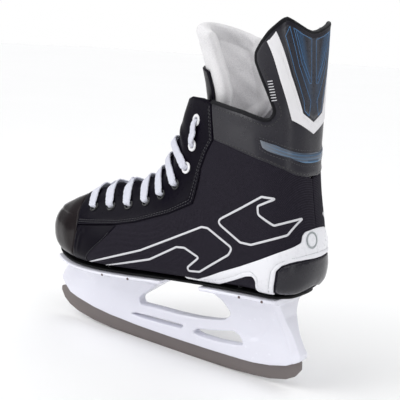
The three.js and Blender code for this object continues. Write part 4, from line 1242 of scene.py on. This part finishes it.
def quarter_outline(side):
    patch = side_path([[-69.5, 73.5], [-61.5, 86], [-41.5, 106.5], [-34, 117.5]], side)
    lower = side_path([[-34, 118.5], [-14, 124], [20, 137], [41.5, 148.5, 5], [45.5, 176], [50.5, 190.5],
                       [56, 202.5]], side)
    collar = side_path([[57, 203.5], *[[x, z + 2.0] for x, z in COLLAR_SEAM[1:]]], side)
    heel = np.array([(s, side * 0.004) for s in np.linspace(15.5, 12.1, 50)])
    collar = collar[np.abs(collar[:, 1]) > 0.006]
    under = along_angle([11.9, 11.3, 10.5, 9, 7, 5, 4.75], [0.05, 0.3, LOW, LOW, LOW, LOW, LOW],
                        120) * np.array([1, side])
    return chain(patch, lower, collar, heel, under)


def add_quarters():
    for side, word in SIDES.items():
        outline = quarter_outline(side)
        piece = panel("quarter_skin_" + word, HEEL_MAP, outline, proud=0.0, depth=2.6, edge=0.7, spacing=2.4)
        finish_piece(piece, "weave", "root", ["quarter_" + word])


def add_patches():
    for side, word in SIDES.items():
        toe = side_path([[-76.7, 107], [-76.5, 103], [-79, 88], [-86, 73]], side, smooth=True)
        bottom = along_angle([toe[-1, 0], 4.75], [LOW, LOW], 25) * np.array([1, side])
        toe = toe[np.abs(toe[:, 1]) > LOW]
        seam = side_path([[-67.5, 74], [-59.5, 85], [-39.5, 105], [-31, 115.8]], side, smooth=True)
        seam = seam[np.abs(seam[:, 1]) > LOW]
        top = side_path([[-31, 115.8], [-76.7, 108]], side)

        def folds(at, base, gap):
            first = np.exp(-((base[:, 0] + 75.6 - 0.25 * (base[:, 2] - 96)) / 1.5) ** 2)
            second = np.exp(-((base[:, 0] + 70.8 - 0.30 * (base[:, 2] - 96)) / 1.8) ** 2)
            fade = smooth01(base[:, 2], 80, 90) * (1 - smooth01(base[:, 2], 104, 108))
            return (1.1 * first + 0.8 * second) * fade

        outline = chain(toe, bottom, seam, top)
        piece = panel("toe_patch_skin_" + word, TOE_MAP, through_toe(outline), proud=0.55, depth=2.6,
                      edge=0.8, spacing=1.5, relief=folds)
        finish_piece(piece, "patch_leather", "root", ["toe_patch_" + word])
        inner = side_path([[-65.5, 76], [-57.5, 86.5], [-42, 101.5], [-36, 109]], side, smooth=True)
        inner = inner + np.array([-0.06, 0])
        finish_piece(joined("patch_stitches_" + word, stitch_parts(inner, 0.5, 2.6, 1.9, 0.26)),
                     "grey_thread", "root")


def collar_border(side):
    """The free edge of the collar and guard on one side, from the facing to the notch at the back."""
    edge = side_path(COLLAR_TOP, side)
    notch = rear_path([[side * abs(y), z, *r] for y, z, *r in NOTCH][:2] + [[side * 8, 287.8], [0, 286.7]])
    edge = edge[np.abs(edge[:, 1]) > abs(notch[0, 1]) + 0.01]
    return chain(edge, notch)


def add_collar():
    seam = side_path([[x, z + 0.3] for x, z in COLLAR_SEAM], LATERAL)
    front = side_path([[59.3, 200], [56.8, 216], [54.9, 229.5]], LATERAL)
    border = collar_border(LATERAL)
    half = chain(seam[::-1], front, border)
    half = half[half[:, 1] < -0.004]
    outline = chain(half, mirror(half)[::-1])
    piece = panel("collar_skin", HEEL_MAP, outline, proud=0.45, depth=2.4, edge=0.9, spacing=2.4,
                  relief=lambda at, base, gap:
                  0.5 * (1 - smooth01(gap, 1, 12)) * smooth01(base[:, 2], 196, 215))
    piece.data.materials.append(MAT["collar_leather"])
    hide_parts("ankle_collar", "tendon_guard")
    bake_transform(piece)
    full = np.vstack([border, mirror(border)[::-1][1:]])
    centre = on_form(full, -0.9)
    centre = resample(centre, 2.0)
    binding = tube("collar_binding", centre, 2.1, around=12)
    binding.data.materials.append(MAT["binding"])
    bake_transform(binding)
    stitches = []
    for side in SIDES:
        path = side_path([[60, 225.6], [71, 223.7], [87, 221.2], [100, 218], [112.5, 215.8, 8],
                          [119.5, 226, 9], [113.6, 241], [106.8, 255], [104, 260.5]], side)
        stitches += stitch_parts(path, 0.85, pitch=3.0, length=2.1, thread=0.34)
    thread = joined("collar_stitches", stitches)
    thread.data.materials.append(MAT["thread"])
    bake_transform(thread)
    low = []
    for side in SIDES:
        path = side_path([[60.5, 202], [80, 198.3], [97, 194.3], [112, 190.8], [123, 186.3], [132, 180]],
                         side)
        low += stitch_parts(path, 0.4, pitch=3.2, length=2.3, thread=0.34)
        rear = side_path([[60.9, 204], [59, 215], [57.5, 225]], side)
        low += stitch_parts(rear, 0.4, pitch=3.0, length=2.1, thread=0.3)
    finish_piece(joined("collar_seam_stitches", low), "thread", "root")


def add_guard_trim():
    band = [[-39.7, 279], [-32.8, 252], [-24.5, 222, 1.5], [0, 211], [24.5, 222, 1.5], [32.8, 252],
            [39.7, 279], [38, 287], [27, 256], [14.5, 227, 1.5], [0, 220], [-14.5, 227, 1.5], [-27, 256],
            [-38, 287]]
    line = rear_path([[-39.5, 285], [-28.6, 254.5], [-16.5, 225.4], [0, 217.2], [16.5, 225.4], [28.6, 254.5],
                      [39.5, 285]])
    line = line[9:-9]
    piece = panel("guard_chevron_skin", HEEL_MAP, rear_path(band, closed=True), proud=1.0, depth=0.0,
                  edge=0.5, spacing=2.0, grooves=[(line, 0.55, 0.35)])
    finish_piece(piece, "white_vinyl", "tendon_guard", ["guard_chevron"])
    face = [[-36.3, 289], [-25.5, 256.5], [-13.2, 228.2, 1.5], [0, 221.6], [13.2, 228.2, 1.5], [25.5, 256.5],
            [36.3, 288], [31, 292.8, 2], [19, 287.8, 3], [0, 283.2, 8], [-19, 287.8, 3], [-31, 292.8, 2]]
    piece = panel("guard_panel_skin", HEEL_MAP, rear_path(face, closed=True), proud=0.85, depth=0.0,
                  edge=0.5, spacing=2.0)
    finish_piece(piece, "navy_panel", "tendon_guard", ["guard_panel"])
    lines = []
    for sign in (-1, 1):
        for path in (
            [[30.5, 290.5], [33, 283.5], [24, 258], [14, 236.5], [13, 229], [7, 225], [4.5, 236], [9, 243],
             [20, 262], [30.5, 290.5]],
            [[27, 289.5], [17, 264], [6.5, 249.5], [3.5, 249.5], [3.5, 282]],
            [[27, 289.5], [18, 285.8], [3.5, 282.2]],
            [[24.5, 288], [14.5, 266], [5.6, 253]],
        ):
            lines.append(ribbon_parts(rear_path([[sign * y, z] for y, z in path]), 0.55, 0.95, 0.3))
    finish_piece(joined("guard_lines", lines), "blue_line", "tendon_guard")
    bars = []
    for k in range(8):
        z = 235.6 + k * 2.0
        x = 113.6 - k * 0.5
        for side in SIDES:
            path = side_path([[x - 1.9, z + 0.2], [x + 1.7, z + 0.9]], side)
            bars.append(ribbon_parts(path, 0.8, 1.3, 0.3))
    finish_piece(joined("guard_ladder", bars), "white_print", "tendon_guard")


def add_heel():
    top = side_path([[38.5, 83.2], [51, 83.5], [66, 90.5], [77.5, 96.6], [95.5, 105], [113, 114],
                     [128.5, 122.6]], LATERAL)
    tab = rear_path([[-27, 126], [-19.4, 129.3, 2.5], [-17.6, 134.5, 3], [-14.5, 137.2, 4], [-6.2, 138.2],
                     [0, 138.4]])
    under = rear_path([[0, 115.8], [-9, 116], [-16.4, 116.2], [-24, 115.6], [-28.6, 114.6]])
    leg = side_path([[130.5, 112.2, 3], [127, 107.5, 3], [126.3, 100], [124.6, 92], [122, 86.6, 0.5],
                     [108.5, 86.2, 0.5], [110.6, 96, 2.5], [108, 99.8, 3], [102, 98.4], [90.5, 92.8],
                     [81, 88.5], [72, 84.6], [51, 82.2]], LATERAL)
    half = chain(top, tab)
    low = chain(under, leg)
    half = half[half[:, 1] < -0.004]
    low = low[low[:, 1] < -0.004]
    outline = chain(half, mirror(half)[::-1], mirror(low)[::-1], low)
    arch = side_path([[60, 86.6], [72, 88.4], [90.5, 96.2], [100, 101.6], [107, 103.4, 4], [112.6, 99, 4],
                      [111.6, 88]], LATERAL)
    heel_line = chain(side_path([[119.5, 88.5], [122, 96], [123.4, 107], [127, 113, 4], [131.5, 116]],
                                LATERAL),
                      rear_path([[-27.2, 118], [-16.6, 119.6], [-8, 120], [-1, 120]]))
    grooves = []
    for path in (arch, heel_line):
        grooves += [(path, 0.5, 0.4), (mirror(path), 0.5, 0.4)]
    piece = panel("heel_support_skin", HEEL_MAP, outline, proud=1.3, depth=0.0, edge=0.8, spacing=1.8,
                  grooves=grooves)
    finish_piece(piece, "support", "root", ["heel_support"])
    lines = []
    for path in (arch, heel_line):
        for p in (path, mirror(path)):
            lines.append(ribbon_parts(p, 0.35, 1.02, 0.2))
    finish_piece(joined("heel_support_lines", lines), "groove", "root")
    s, psi = from_rear(-9.0, 130.3)
    centre, normal = form_point(s, psi), form_normal(np.array([s]), np.array([psi]))[0]
    ring = add_mesh("heel_badge_ring", *lathe([(5.3, 1.2), (5.3, 1.75), (6.0, 1.95), (6.6, 1.75), (6.6, 1.2),
                                               (5.3, 1.2)], 40, centre,
                                              normal))
    check_outward(ring)
    finish_piece(ring, "groove", "root")
    badge = add_mesh("heel_badge", *lathe([(0.02, 1.9), (4.6, 1.85), (5.1, 1.5), (5.1, 0.2)],
                                          40, centre, normal))
    finish_piece(badge, "support", "root")
    rim = chain(side_path([[124, 86.2], [126.2, 92], [128, 100], [128.4, 107.5, 3], [131.2, 111.4, 3]],
                          LATERAL),
                rear_path([[-28, 113.4], [-16.4, 115], [-8, 114.8], [-0.5, 114.6]]))
    base = along_angle([12.15, 12.05, 11.6, 11.1], [-0.02, -0.3, -0.55, -0.75], 30)
    outline = chain(rim, mirror(rim)[::-1], mirror(base[::-1]), base)
    piece = panel("heel_counter_skin", HEEL_MAP, outline, proud=0.9, depth=0.0, edge=0.8, spacing=1.8,
                  relief=lambda at, b, gap: 0.7 * smooth01(gap, 0, 9))
    finish_piece(piece, "counter", "root", ["heel_counter"])
    insert_top = side_path([[105, 205.6], [116, 202.8], [124, 199.4], [131, 196.2]], LATERAL)
    insert_low = side_path([[132.5, 187.8], [125, 193.6], [111, 197.9], [107, 200, 1.5], [104.6, 205.6, 1]],
                           LATERAL)
    insert_top = insert_top[insert_top[:, 1] < -0.004]
    insert_low = insert_low[insert_low[:, 1] < -0.004]
    outline = chain(insert_top, mirror(insert_top)[::-1], mirror(insert_low)[::-1], insert_low)
    piece = panel("ankle_insert_skin", HEEL_MAP, outline, proud=1.25, depth=0.0, edge=0.5, spacing=1.8)
    finish_piece(piece, "insert_stripes", "root", ["ankle_insert"])
    edge = side_path([[131, 198.2], [124, 201.4], [116, 204.8], [103.5, 207.6, 1], [105.0, 198.6, 2],
                      [111, 195.9], [125, 191.4], [131.5, 186]], LATERAL)
    parts = stitch_parts(edge, 0.5, 2.4, 1.6, 0.22) + stitch_parts(mirror(edge), 0.5, 2.4, 1.6, 0.22)
    finish_piece(joined("insert_stitches", parts), "grey_thread", "root")


def navy_panel():
    s = Shader("navy_panel", (0.012, 0.02, 0.045), 0.3, Coat_Weight=0.2)
    split = s.node("ShaderNodeSeparateXYZ")
    s.link(s.place(), split.inputs[0])
    y, z = s.math("ABSOLUTE", split.outputs[1]), split.outputs[2]
    slant = s.math("SUBTRACT", y, s.math("MULTIPLY", s.math("SUBTRACT", z, 222), 0.32))
    blue = s.ramp(s.math("ABSOLUTE", s.math("ADD", slant, 1.0)), 0.0, 6.0, 1.0, 0.0)
    high = s.ramp(z, 225, 270)
    tint = s.mix_color(s.math("MULTIPLY", blue, high), (0.012, 0.013, 0.022), (0.016, 0.055, 0.12))
    grey = s.ramp(s.math("ABSOLUTE", s.math("SUBTRACT", y, 4.5)), 0, 5, 1, 0)
    s.paint(s.mix_color(s.math("MULTIPLY", s.math("MULTIPLY", grey, s.ramp(z, 240, 288)), 0.5), tint,
                        (0.09, 0.11, 0.15)))
    s.rough(s.ramp(s.noise(0.4, detail=3), 0.3, 0.7, 0.24, 0.4))
    s.bump(s.cells(1 / 1.2), 0.15, 0.1)
    return s.material


def insert_stripes():
    s = Shader("insert_stripes", (0.06, 0.08, 0.11), 0.3, Coat_Weight=0.2)
    split = s.node("ShaderNodeSeparateXYZ")
    s.link(s.place(), split.inputs[0])
    x, z = split.outputs[0], split.outputs[2]
    height = s.math("ADD", z, s.math("MULTIPLY", x, 0.36))
    low = s.ramp(height, 236.5, 238.4, 1.0, 0.0)
    stripe = s.ramp(s.math("SINE", s.math("MULTIPLY", height, 2.6)), 0.3, 0.9, 0.0, 0.3)
    back = s.ramp(x, 106, 128)
    pale = s.mix_color(back, (0.15, 0.17, 0.2), (0.045, 0.07, 0.11))
    share = s.math("MULTIPLY", s.math("MAXIMUM", low, stripe), s.ramp(x, 108, 118))
    s.paint(s.mix_color(share, pale, (0.08, 0.24, 0.45)))
    s.rough(s.ramp(s.noise(0.4, detail=3), 0.3, 0.7, 0.26, 0.4))
    s.bump(s.cells(1 / 1.3), 0.12, 0.1)
    return s.material


MAT["navy_panel"] = navy_panel()
MAT["insert_stripes"] = insert_stripes()

GRAPHIC_FRONT = [[-66, 75], [-3, 99], [56, 129.5, 5], [62, 129.5, 3], [87, 118, 5], [84, 112, 4], [57, 92.2],
                 [46, 90.6, 4], [45, 93.5, 2.5], [56, 104, 1.5], [41, 109.4, 3], [33, 108.5], [7, 93],
                 [-46, 76]]
GRAPHIC_REAR = [[69, 136.5, 4], [92, 151], [110, 162.8, 3], [120.5, 162.4, 0.6], [107, 155, 2],
                [108, 148.6, 4], [122, 142.2, 2], [135.6, 147.6, 0.5], [131, 135.5, 2], [104, 124, 5],
                [94, 124, 4]]


def add_graphics():
    for side, word in SIDES.items():
        parts = [
            ribbon_parts(side_path(GRAPHIC_FRONT, side), 1.7, 0.28),
            ribbon_parts(side_path(GRAPHIC_REAR, side, closed=True), 1.7, 0.28, closed=True),
        ]
        finish_piece(joined("side_lines_" + word, parts), "white_print", "root")


# ---------------------------------------------------------------- lining and tongue


def add_lining():
    """The felt inside the collar and the guard, rolled over the binding's inner side."""
    border = collar_border(LATERAL)
    border = border[border[:, 0] > 13.5]
    top = border + np.array([-0.10, 0])
    front = side_path([[54, 228.3], [44, 205], [36, 185], [28, 168], [20, 150]], LATERAL, smooth=True)
    floor = side_path([[20, 150], [24, 120], [30, 97]], LATERAL)
    heel = along_angle([9.3, 10.5, 11.5, 12.3], [-0.9, -0.8, -0.55, -0.01], 60)
    half = chain(heel[::-1], floor[::-1], front[::-1], top)
    half = half[half[:, 1] < -0.004]
    outline = chain(half, mirror(half)[::-1])
    piece = panel("collar_felt", HEEL_MAP, outline, proud=-3.1, depth=8.2, edge=1.5, spacing=3.2)
    piece.data.materials.append(MAT["lining_felt"])
    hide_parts("lining", "guard_pad")
    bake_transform(piece)


FLAP = np.array([[32.5, 226, 23, 36], [31.5, 240, 26.5, 42], [28.5, 255, 30, 41], [24.5, 270, 33, 37],
                 [21, 281, 35, 35], [18, 289.5, 36, 34.0]])
LOWER = np.array([[-12, 160, 14, 5], [4, 178, 15.5, 9], [16, 195, 17, 16], [25, 210, 20, 26.0]])
TONGUE_ROWS = np.vstack([LOWER, FLAP])
FLAP_FALL = 0.2                # drop of the flap's sides for each millimetre they wrap back
FRONT_ROWS, FRONT_COLUMNS = 90, 41
TONGUE_DEPTHS = (6.4, 9.5)     # of the lower tongue's leather below the form
FELT_REACH = (0.84, 1.0, 1.16)
FELT_DEPTHS = (0.6, 12.6)
SHELL_REACH = (0.66, 0.66, 0.66)
SHELL_DEPTHS = (-2.0, 0.6)


def tongue_frame(t, across):
    """A point of the tongue's outer face and its inward direction; across is -1..1."""
    t, across = np.broadcast_arrays(np.asarray(t, float), np.asarray(across, float))
    q = spline(TONGUE_ROWS, t)
    ahead, behind = spline(TONGUE_ROWS, t + 0.05), spline(TONGUE_ROWS, t - 0.05)
    tangent = unit((ahead - behind)[..., :2])
    angle = across * 0.47 * math.pi
    back = q[..., 3] * (1 - np.cos(angle))
    turn = q[..., 3] * np.sin(angle)
    point = np.stack([q[..., 0] + back, q[..., 2] * np.sin(angle), q[..., 1] - back * FLAP_FALL], -1)
    slope = np.stack([turn, q[..., 2] * np.cos(angle), -turn * FLAP_FALL], -1)
    along = np.stack([tangent[..., 0], np.zeros_like(angle), tangent[..., 1]], -1)
    return point, unit(np.cross(slope, along))


def closed_sheet(name, front, back):
    """A closed mesh between two grids of points of the same size."""
    rows, columns = front.shape[:2]
    n = rows * columns
    faces = grid_faces(rows, columns)
    faces += [tuple(n + i for i in f[::-1]) for f in grid_faces(rows, columns)]
    ring = list(range(columns))
    ring += [i * columns + columns - 1 for i in range(1, rows)]
    ring += [(rows - 1) * columns + k for k in range(columns - 2, -1, -1)]
    ring += [i * columns for i in range(rows - 2, 0, -1)]
    for i, v in enumerate(ring):
        w = ring[(i + 1) % len(ring)]
        faces.append((v, w, n + w, n + v))
    piece = add_mesh(name, np.vstack([front.reshape(-1, 3), back.reshape(-1, 3)]), faces)
    check_outward(piece)
    return piece


def tongue_sheet(name, t0, t1, reach, outer, inner, rows, columns, round_edge, detail=None):
    """A closed padded sheet on the tongue, between two depths, with full round borders. reach is how far
    round it goes: on the lateral side at the flap's foot and top, and on the medial side."""
    t = np.linspace(t0, t1, rows)
    tt, aa = np.meshgrid(t, np.linspace(-1, 1, columns), indexing="ij")
    aa = aa * np.where(aa * LATERAL > 0, np.interp(tt, [4, 8], [reach[0], reach[1]]), reach[2])
    point, inward = tongue_frame(tt, aa)
    border = np.concatenate([point[0], point[1:, -1], point[-1, -2::-1], point[-2:0:-1, 0]])
    gap = distance_to([border], point.reshape(-1, 3)).reshape(tt.shape)
    middle, half = (outer + inner) / 2, (inner - outer) / 2
    fat = half * np.sqrt(np.clip(1 - np.clip(1 - gap / round_edge, 0, 1) ** 2, 0, 1))
    back = fat.copy()
    if detail is not None:
        front_more, back_more = detail(tt, aa, gap)
        fat = fat + front_more
        back = back + back_more
    front_face = point + inward * (middle - fat)[..., None]
    back_face = point + inward * (middle + back)[..., None]
    return closed_sheet(name, front_face, back_face)


def add_tongue():
    def felt_detail(tt, aa, gap):
        hollow = -3.4 * smooth01(gap, 6, 17)
        seam = -0.5 * np.exp(-((gap - 15) / 0.9) ** 2)
        wobble = 0.5 * np.sin(tt * 5.1 + aa * 2.0) * np.sin(aa * 7.3 + tt)
        return 0.3 * wobble * smooth01(gap, 2, 8), (hollow + seam + wobble) * smooth01(gap, 1, 5)

    felt_piece = tongue_sheet("tongue_felt_skin", 0.0, len(TONGUE_ROWS) - 1, FELT_REACH, *FELT_DEPTHS, 130,
                              120, 6.0, felt_detail)
    felt_piece.data.materials.append(MAT["felt"])
    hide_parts("tongue_felt", "tongue_lining")
    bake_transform(felt_piece)
    shell = tongue_sheet("tongue_shell_skin", 0.6, 6.15, SHELL_REACH, *SHELL_DEPTHS, 90, 70, 1.3)
    shell.data.materials.append(MAT["leather"])
    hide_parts("tongue_flap")
    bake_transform(shell)
    s = np.linspace(4.3, 12.6, FRONT_ROWS)
    psi = np.linspace(-1, 1, FRONT_COLUMNS)
    at_s = np.repeat(s[:, None], FRONT_COLUMNS, 1)
    at_psi = math.pi + psi[None, :] * np.full((FRONT_ROWS, 1), 0.72)
    base = form_point(at_s, at_psi)
    normal = form_normal(at_s, at_psi)
    ripple = 0.35 * np.sin(at_s * 9) * np.cos(psi[None, :] * 1.5)
    outer = base - normal * (TONGUE_DEPTHS[0] - ripple)[..., None]
    inner = base - normal * TONGUE_DEPTHS[1]
    low = closed_sheet("tongue_front_skin", outer, inner)
    finish_piece(low, "leather", "root", ["tongue_shell"])


# ---------------------------------------------------------------- eyelets and lace


def add_eyelets():
    for side, word in SIDES.items():
        for i, (s, angle) in enumerate(zip(EYELET_STATIONS, EYELET_ANGLE)):
            psi = side * cad_angle(s, angle)
            place = form_point(s, psi)
            normal = form_normal(np.array([s]), np.array([psi]))[0]
            node = f"eyelet_{word}_{i + 1}"
            profile = [(2.5, -3.4), (3.1, -3.4), (3.1, 0.9), (4.6, 1.0), (5.0, 1.3), (4.9, 1.8), (4.3, 2.25),
                       (3.6, 2.35), (2.9, 2.0), (2.5, 1.3), (2.5, -3.4)]
            if i > 2:
                profile = [(r if r < 3.2 else 3.0 + (r - 3.0) * 0.8, h - (0.25 if h > 1 else 0))
                           for r, h in profile]
            piece = add_mesh(node + "_ring", *lathe(profile, 28, place, normal))
            check_outward(piece)
            white = i < 3
            finish_piece(piece, "eyelet_white" if white else "eyelet_black", "root",
                         [node])


LACE_WIDTH = 8.0
LACE_THICKNESS = 1.5
CREST_FACING = np.array([-0.75, 0, 0.66])   # way the lace's flat side faces where it crosses the throat
LACE_LEAN = 0.42               # stations by which the lace leans toward the toe on its way over a facing


def cad_point(s, angle, side, height=0.0):
    psi = side * cad_angle(s, angle)
    return on_form(np.array([[s, psi]]), height)[0]


def cad_normal(s, angle, side):
    psi = side * cad_angle(s, angle)
    return form_normal(np.array([s]), np.array([psi]))[0]


def crest(s, across, height):
    q = spline(FORM, s)
    ahead, behind = spline(FORM, s + 0.05), spline(FORM, s - 0.05)
    d = unit((ahead - behind)[2:4])
    gap = 9 + (min(max(s, 4.5), 16) - 4.5) / 9.5 * 11
    return np.array([q[2] - d[1] * height, across * gap, q[3] + d[0] * height])


def facing_point(index, side, share, height):
    s = EYELET_STATIONS[index]
    angle = EYELET_ANGLE[index] + (math.pi - 0.32 - EYELET_ANGLE[index]) * share
    return cad_point(s, angle, side, height)


def lace_strand(index, side, crossing):
    """Nodes of one crossing, from under one facing over the other into its next eyelet:
    [point, width, facing way]."""
    after = index - 1
    here = cad_point(EYELET_STATIONS[index], EYELET_ANGLE[index], side)
    n_here = cad_normal(EYELET_STATIONS[index], EYELET_ANGLE[index], side)
    middle = (EYELET_STATIONS[index] + EYELET_STATIONS[after]) / 2
    return [
        (here - n_here * 5.0, 3.4, None), (facing_point(index, side, 0.2, -5.2), 5, n_here),
        (facing_point(index, side, 0.62, -4.8), LACE_WIDTH, cad_normal(middle, 2.6, side)),
        (crest(EYELET_STATIONS[index], side * 0.7, -4.8), LACE_WIDTH, CREST_FACING),
        (crest(middle, 0, crossing), LACE_WIDTH, CREST_FACING),
        *over_facing(after, -side)[::-1],
    ]


def over_facing(index, side):
    """Nodes of the lace from inside an eyelet out and over the facing to its front edge."""
    s = EYELET_STATIONS[index]
    here, normal = cad_point(s, EYELET_ANGLE[index], side), cad_normal(s, EYELET_ANGLE[index], side)
    toward = s - LACE_LEAN
    inward = unit(cad_point(toward, EYELET_ANGLE[index] + 0.35, side) - here)
    edge = cad_point(toward, EYELET_ANGLE[index] + (math.pi - 0.32 - EYELET_ANGLE[index]) * 0.75, side, 3.6)
    return [
        (here - normal * 2.4, 3.4, None), (here + normal * 1.2, 4.4, None),
            (here + normal * 3.6 + inward * 1.6, 6.0, normal),
        (here + normal * 3.7 + inward * 6, 7.8, normal), (edge, LACE_WIDTH, cad_normal(toward, 2.6, side)),
        (crest(toward - 0.1, side * 0.9, 2.6), LACE_WIDTH, CREST_FACING),
    ]


def lace_side(start):
    nodes, side = [], start
    for index in range(len(EYELET_STATIONS) - 1, 2, -1):
        nodes += lace_strand(index, side, -0.8 if side == LATERAL else -3.2)
        side = -side
    n2 = cad_normal(EYELET_STATIONS[2], EYELET_ANGLE[2], side)
    between_2_and_1 = (EYELET_STATIONS[2] + EYELET_STATIONS[1]) / 2
    nodes += [(cad_point(EYELET_STATIONS[2], EYELET_ANGLE[2], side, -5.0), 3.4, None),
              (facing_point(2, side, 0.62, -5.2), 5, n2),
              (crest(between_2_and_1, 0, -5.0 if side == LATERAL else -7.0), 6.5, CREST_FACING),
              (facing_point(1, -side, 0.62, -5.2), 5, None),
              (cad_point(EYELET_STATIONS[1], EYELET_ANGLE[1], -side, -5.0), 3.4, None)]
    side = -side
    lift = lambda i, h: cad_point(EYELET_STATIONS[i], EYELET_ANGLE[i], side, h)
    n0, n1 = (cad_normal(EYELET_STATIONS[i], EYELET_ANGLE[i], side) for i in (0, 1))

    def between(share, height):
        s = EYELET_STATIONS[1] + (EYELET_STATIONS[0] - EYELET_STATIONS[1]) * share
        angle = EYELET_ANGLE[1] + (EYELET_ANGLE[0] - EYELET_ANGLE[1]) * share
        return cad_point(s, angle, side, height)

    nodes += [
        (lift(1, -2.4), 3.2, None), (lift(1, 1), 3.6, None), (between(0.1, 3.5), 5, n1),
              (between(0.3, 3.9), 6.4, n1),
        (between(0.5, 3.2), 6.8, n1), (between(0.7, 3.9), 6.4, n0), (between(0.9, 3.5), 5, n0),
              (lift(0, 1), 3.6, None),
        (lift(0, -2.4), 3.2, None), (lift(0, -5.0), 3.2, None),
        (cad_point(EYELET_STATIONS[0] - 0.4, EYELET_ANGLE[0] + 0.1, side, -6.0), 5, n0),
        (cad_point(EYELET_STATIONS[0] - 1.1, EYELET_ANGLE[0] + 0.2, side, -5.8), 5, n0),
    ]
    return nodes


def add_lace():
    bottom = len(EYELET_STATIONS) - 1
    s = EYELET_STATIONS[bottom] - LACE_LEAN
    bar = [*over_facing(bottom, LATERAL), (crest(s - 0.15, 0, 1.6), LACE_WIDTH, np.array([-0.6, 0, 0.8])),
           *over_facing(bottom, MEDIAL)[::-1]]
    nodes = lace_side(LATERAL)[::-1] + bar + lace_side(MEDIAL)
    points = np.array([n[0] for n in nodes])
    widths = np.array([n[1] for n in nodes], float)
    across, last = [], np.array([0.7, 0, 0.7])
    for i, (_, _, facing) in enumerate(nodes):
        tangent = unit(points[min(i + 1, len(nodes) - 1)] - points[max(i - 1, 0)])
        wanted = np.cross(tangent, facing) if facing is not None else last.copy()
        if wanted @ last < 0:
            wanted = -wanted
        last = unit(wanted - tangent * (wanted @ tangent))
        across.append(last)
    t = np.linspace(0, len(nodes) - 1, (len(nodes) - 1) * 9 + 1)
    centre = spline(points, t)
    side = unit(spline(np.array(across), t))
    width = spline(widths[:, None], t)[:, 0]
    tangent = unit(np.gradient(centre, axis=0))
    side = unit(side - tangent * (side * tangent).sum(1, keepdims=True))
    thick = np.cross(tangent, side)
    walk = np.r_[0, np.cumsum(np.linalg.norm(np.diff(centre, axis=0), axis=1))]
    profile = [(-0.5, 0), (-0.485, 0.32), (-0.44, 0.5), (-0.25, 0.56), (0, 0.48), (0.25, 0.56), (0.44, 0.5),
               (0.485, 0.32), (0.5, 0), (0.485, -0.32), (0.44, -0.5), (0.25, -0.56), (0, -0.48),
               (-0.25, -0.56), (-0.44, -0.5), (-0.485, -0.32)]
    ripple = 1 + 0.06 * np.sin(walk * 1.9)
    rings = np.stack([centre + side * (width * ripple)[:, None] * a + thick * LACE_THICKNESS * b
                      for a, b in profile], 1)
    flat = np.stack([np.repeat(walk[:, None], len(profile), 1),
                     np.array([a for a, _ in profile])[None, :] * width[:, None]], -1)
    m = len(profile)
    faces = grid_faces(len(t), m, wrap=True)
    faces += [tuple(range(m)), tuple((len(t) - 1) * m + k for k in range(m))[::-1]]
    piece = add_mesh("lace_ribbon", rings.reshape(-1, 3), faces)
    set_flat(piece, flat.reshape(-1, 2))
    check_outward(piece)
    finish_piece(piece, "lace", "root", ["lace"])


# ---------------------------------------------------------------- stage and light


WORLD_STRENGTH = 0.3
SUNS = [("sun_left", (-1.0, -0.9, 1.5), 60, 1.3), ("sun_right", (1.2, -0.5, 1.6), 60, 0.9),
        ("sun_back", (0.1, 1.2, 1.6), 60, 0.9)]
SOFT_BOXES = [("box_left", (-0.75, -1.1, 0.55), (0.5, 0.9), 5.0),
              ("box_right", (1.25, -0.35, 0.5), (0.3, 0.9), 1.5)]


def add_stage():
    """A pale floor under even light: one broad sun from each side of the studio, and two soft boxes."""
    floor_height = CAD_BOUNDS[0][2]
    size = 12.0
    corners = [(-size, -size), (size, -size), (size, size), (-size, size)]
    mesh = bpy.data.meshes.new("floor")
    mesh.from_pydata([(x, y, floor_height) for x, y in corners], [], [(0, 1, 2, 3)])
    floor = bpy.data.objects.new("floor", mesh)
    bpy.context.scene.collection.objects.link(floor)
    shader = Shader("floor", (0.93, 0.93, 0.93), 0.9)
    shader.set("Specular IOR Level", 0.0)
    shader.paint(shader.mix_color(shader.noise(0.002), (0.92, 0.92, 0.92), (0.94, 0.94, 0.94)))
    mesh.materials.append(shader.material)
    world = bpy.data.worlds.new("studio")
    world.use_nodes = True
    tree = world.node_tree
    tree.nodes["Background"].inputs["Strength"].default_value = WORLD_STRENGTH
    tree.nodes["Background"].inputs["Color"].default_value = (0.97, 0.98, 1.0, 1)
    backdrop = tree.nodes.new("ShaderNodeBackground")
    backdrop.inputs["Color"].default_value = (1, 1, 1, 1)
    seen = tree.nodes.new("ShaderNodeLightPath")
    mix = tree.nodes.new("ShaderNodeMixShader")
    tree.links.new(seen.outputs["Is Camera Ray"], mix.inputs["Fac"])
    tree.links.new(tree.nodes["Background"].outputs["Background"], mix.inputs[1])
    tree.links.new(backdrop.outputs["Background"], mix.inputs[2])
    tree.links.new(mix.outputs["Shader"], tree.nodes["World Output"].inputs["Surface"])
    bpy.context.scene.world = world
    aim = Vector((0.02, 0, 0.14))
    for name, place, spread, strength in SUNS:
        data = bpy.data.lights.new(name, "SUN")
        data.angle = math.radians(spread)
        data.energy = strength
        lamp = bpy.data.objects.new(name, data)
        bpy.context.scene.collection.objects.link(lamp)
        lamp.rotation_euler = (-Vector(place)).to_track_quat("-Z", "Y").to_euler()
    for name, place, size, power in SOFT_BOXES:
        data = bpy.data.lights.new(name, "AREA")
        data.shape = "RECTANGLE"
        data.size, data.size_y = size
        data.energy = power
        lamp = bpy.data.objects.new(name, data)
        bpy.context.scene.collection.objects.link(lamp)
        lamp.location = place
        lamp.rotation_euler = (aim - Vector(place)).to_track_quat("-Z", "Y").to_euler()
    bpy.context.scene.view_settings.view_transform = "Standard"


for build in (add_runner, add_holder, add_sole, add_toe_cap, add_facings, add_quarters, add_patches,
              add_collar, add_guard_trim, add_heel, add_graphics, add_lining, add_tongue, add_eyelets,
              add_lace, add_stage):
    build()
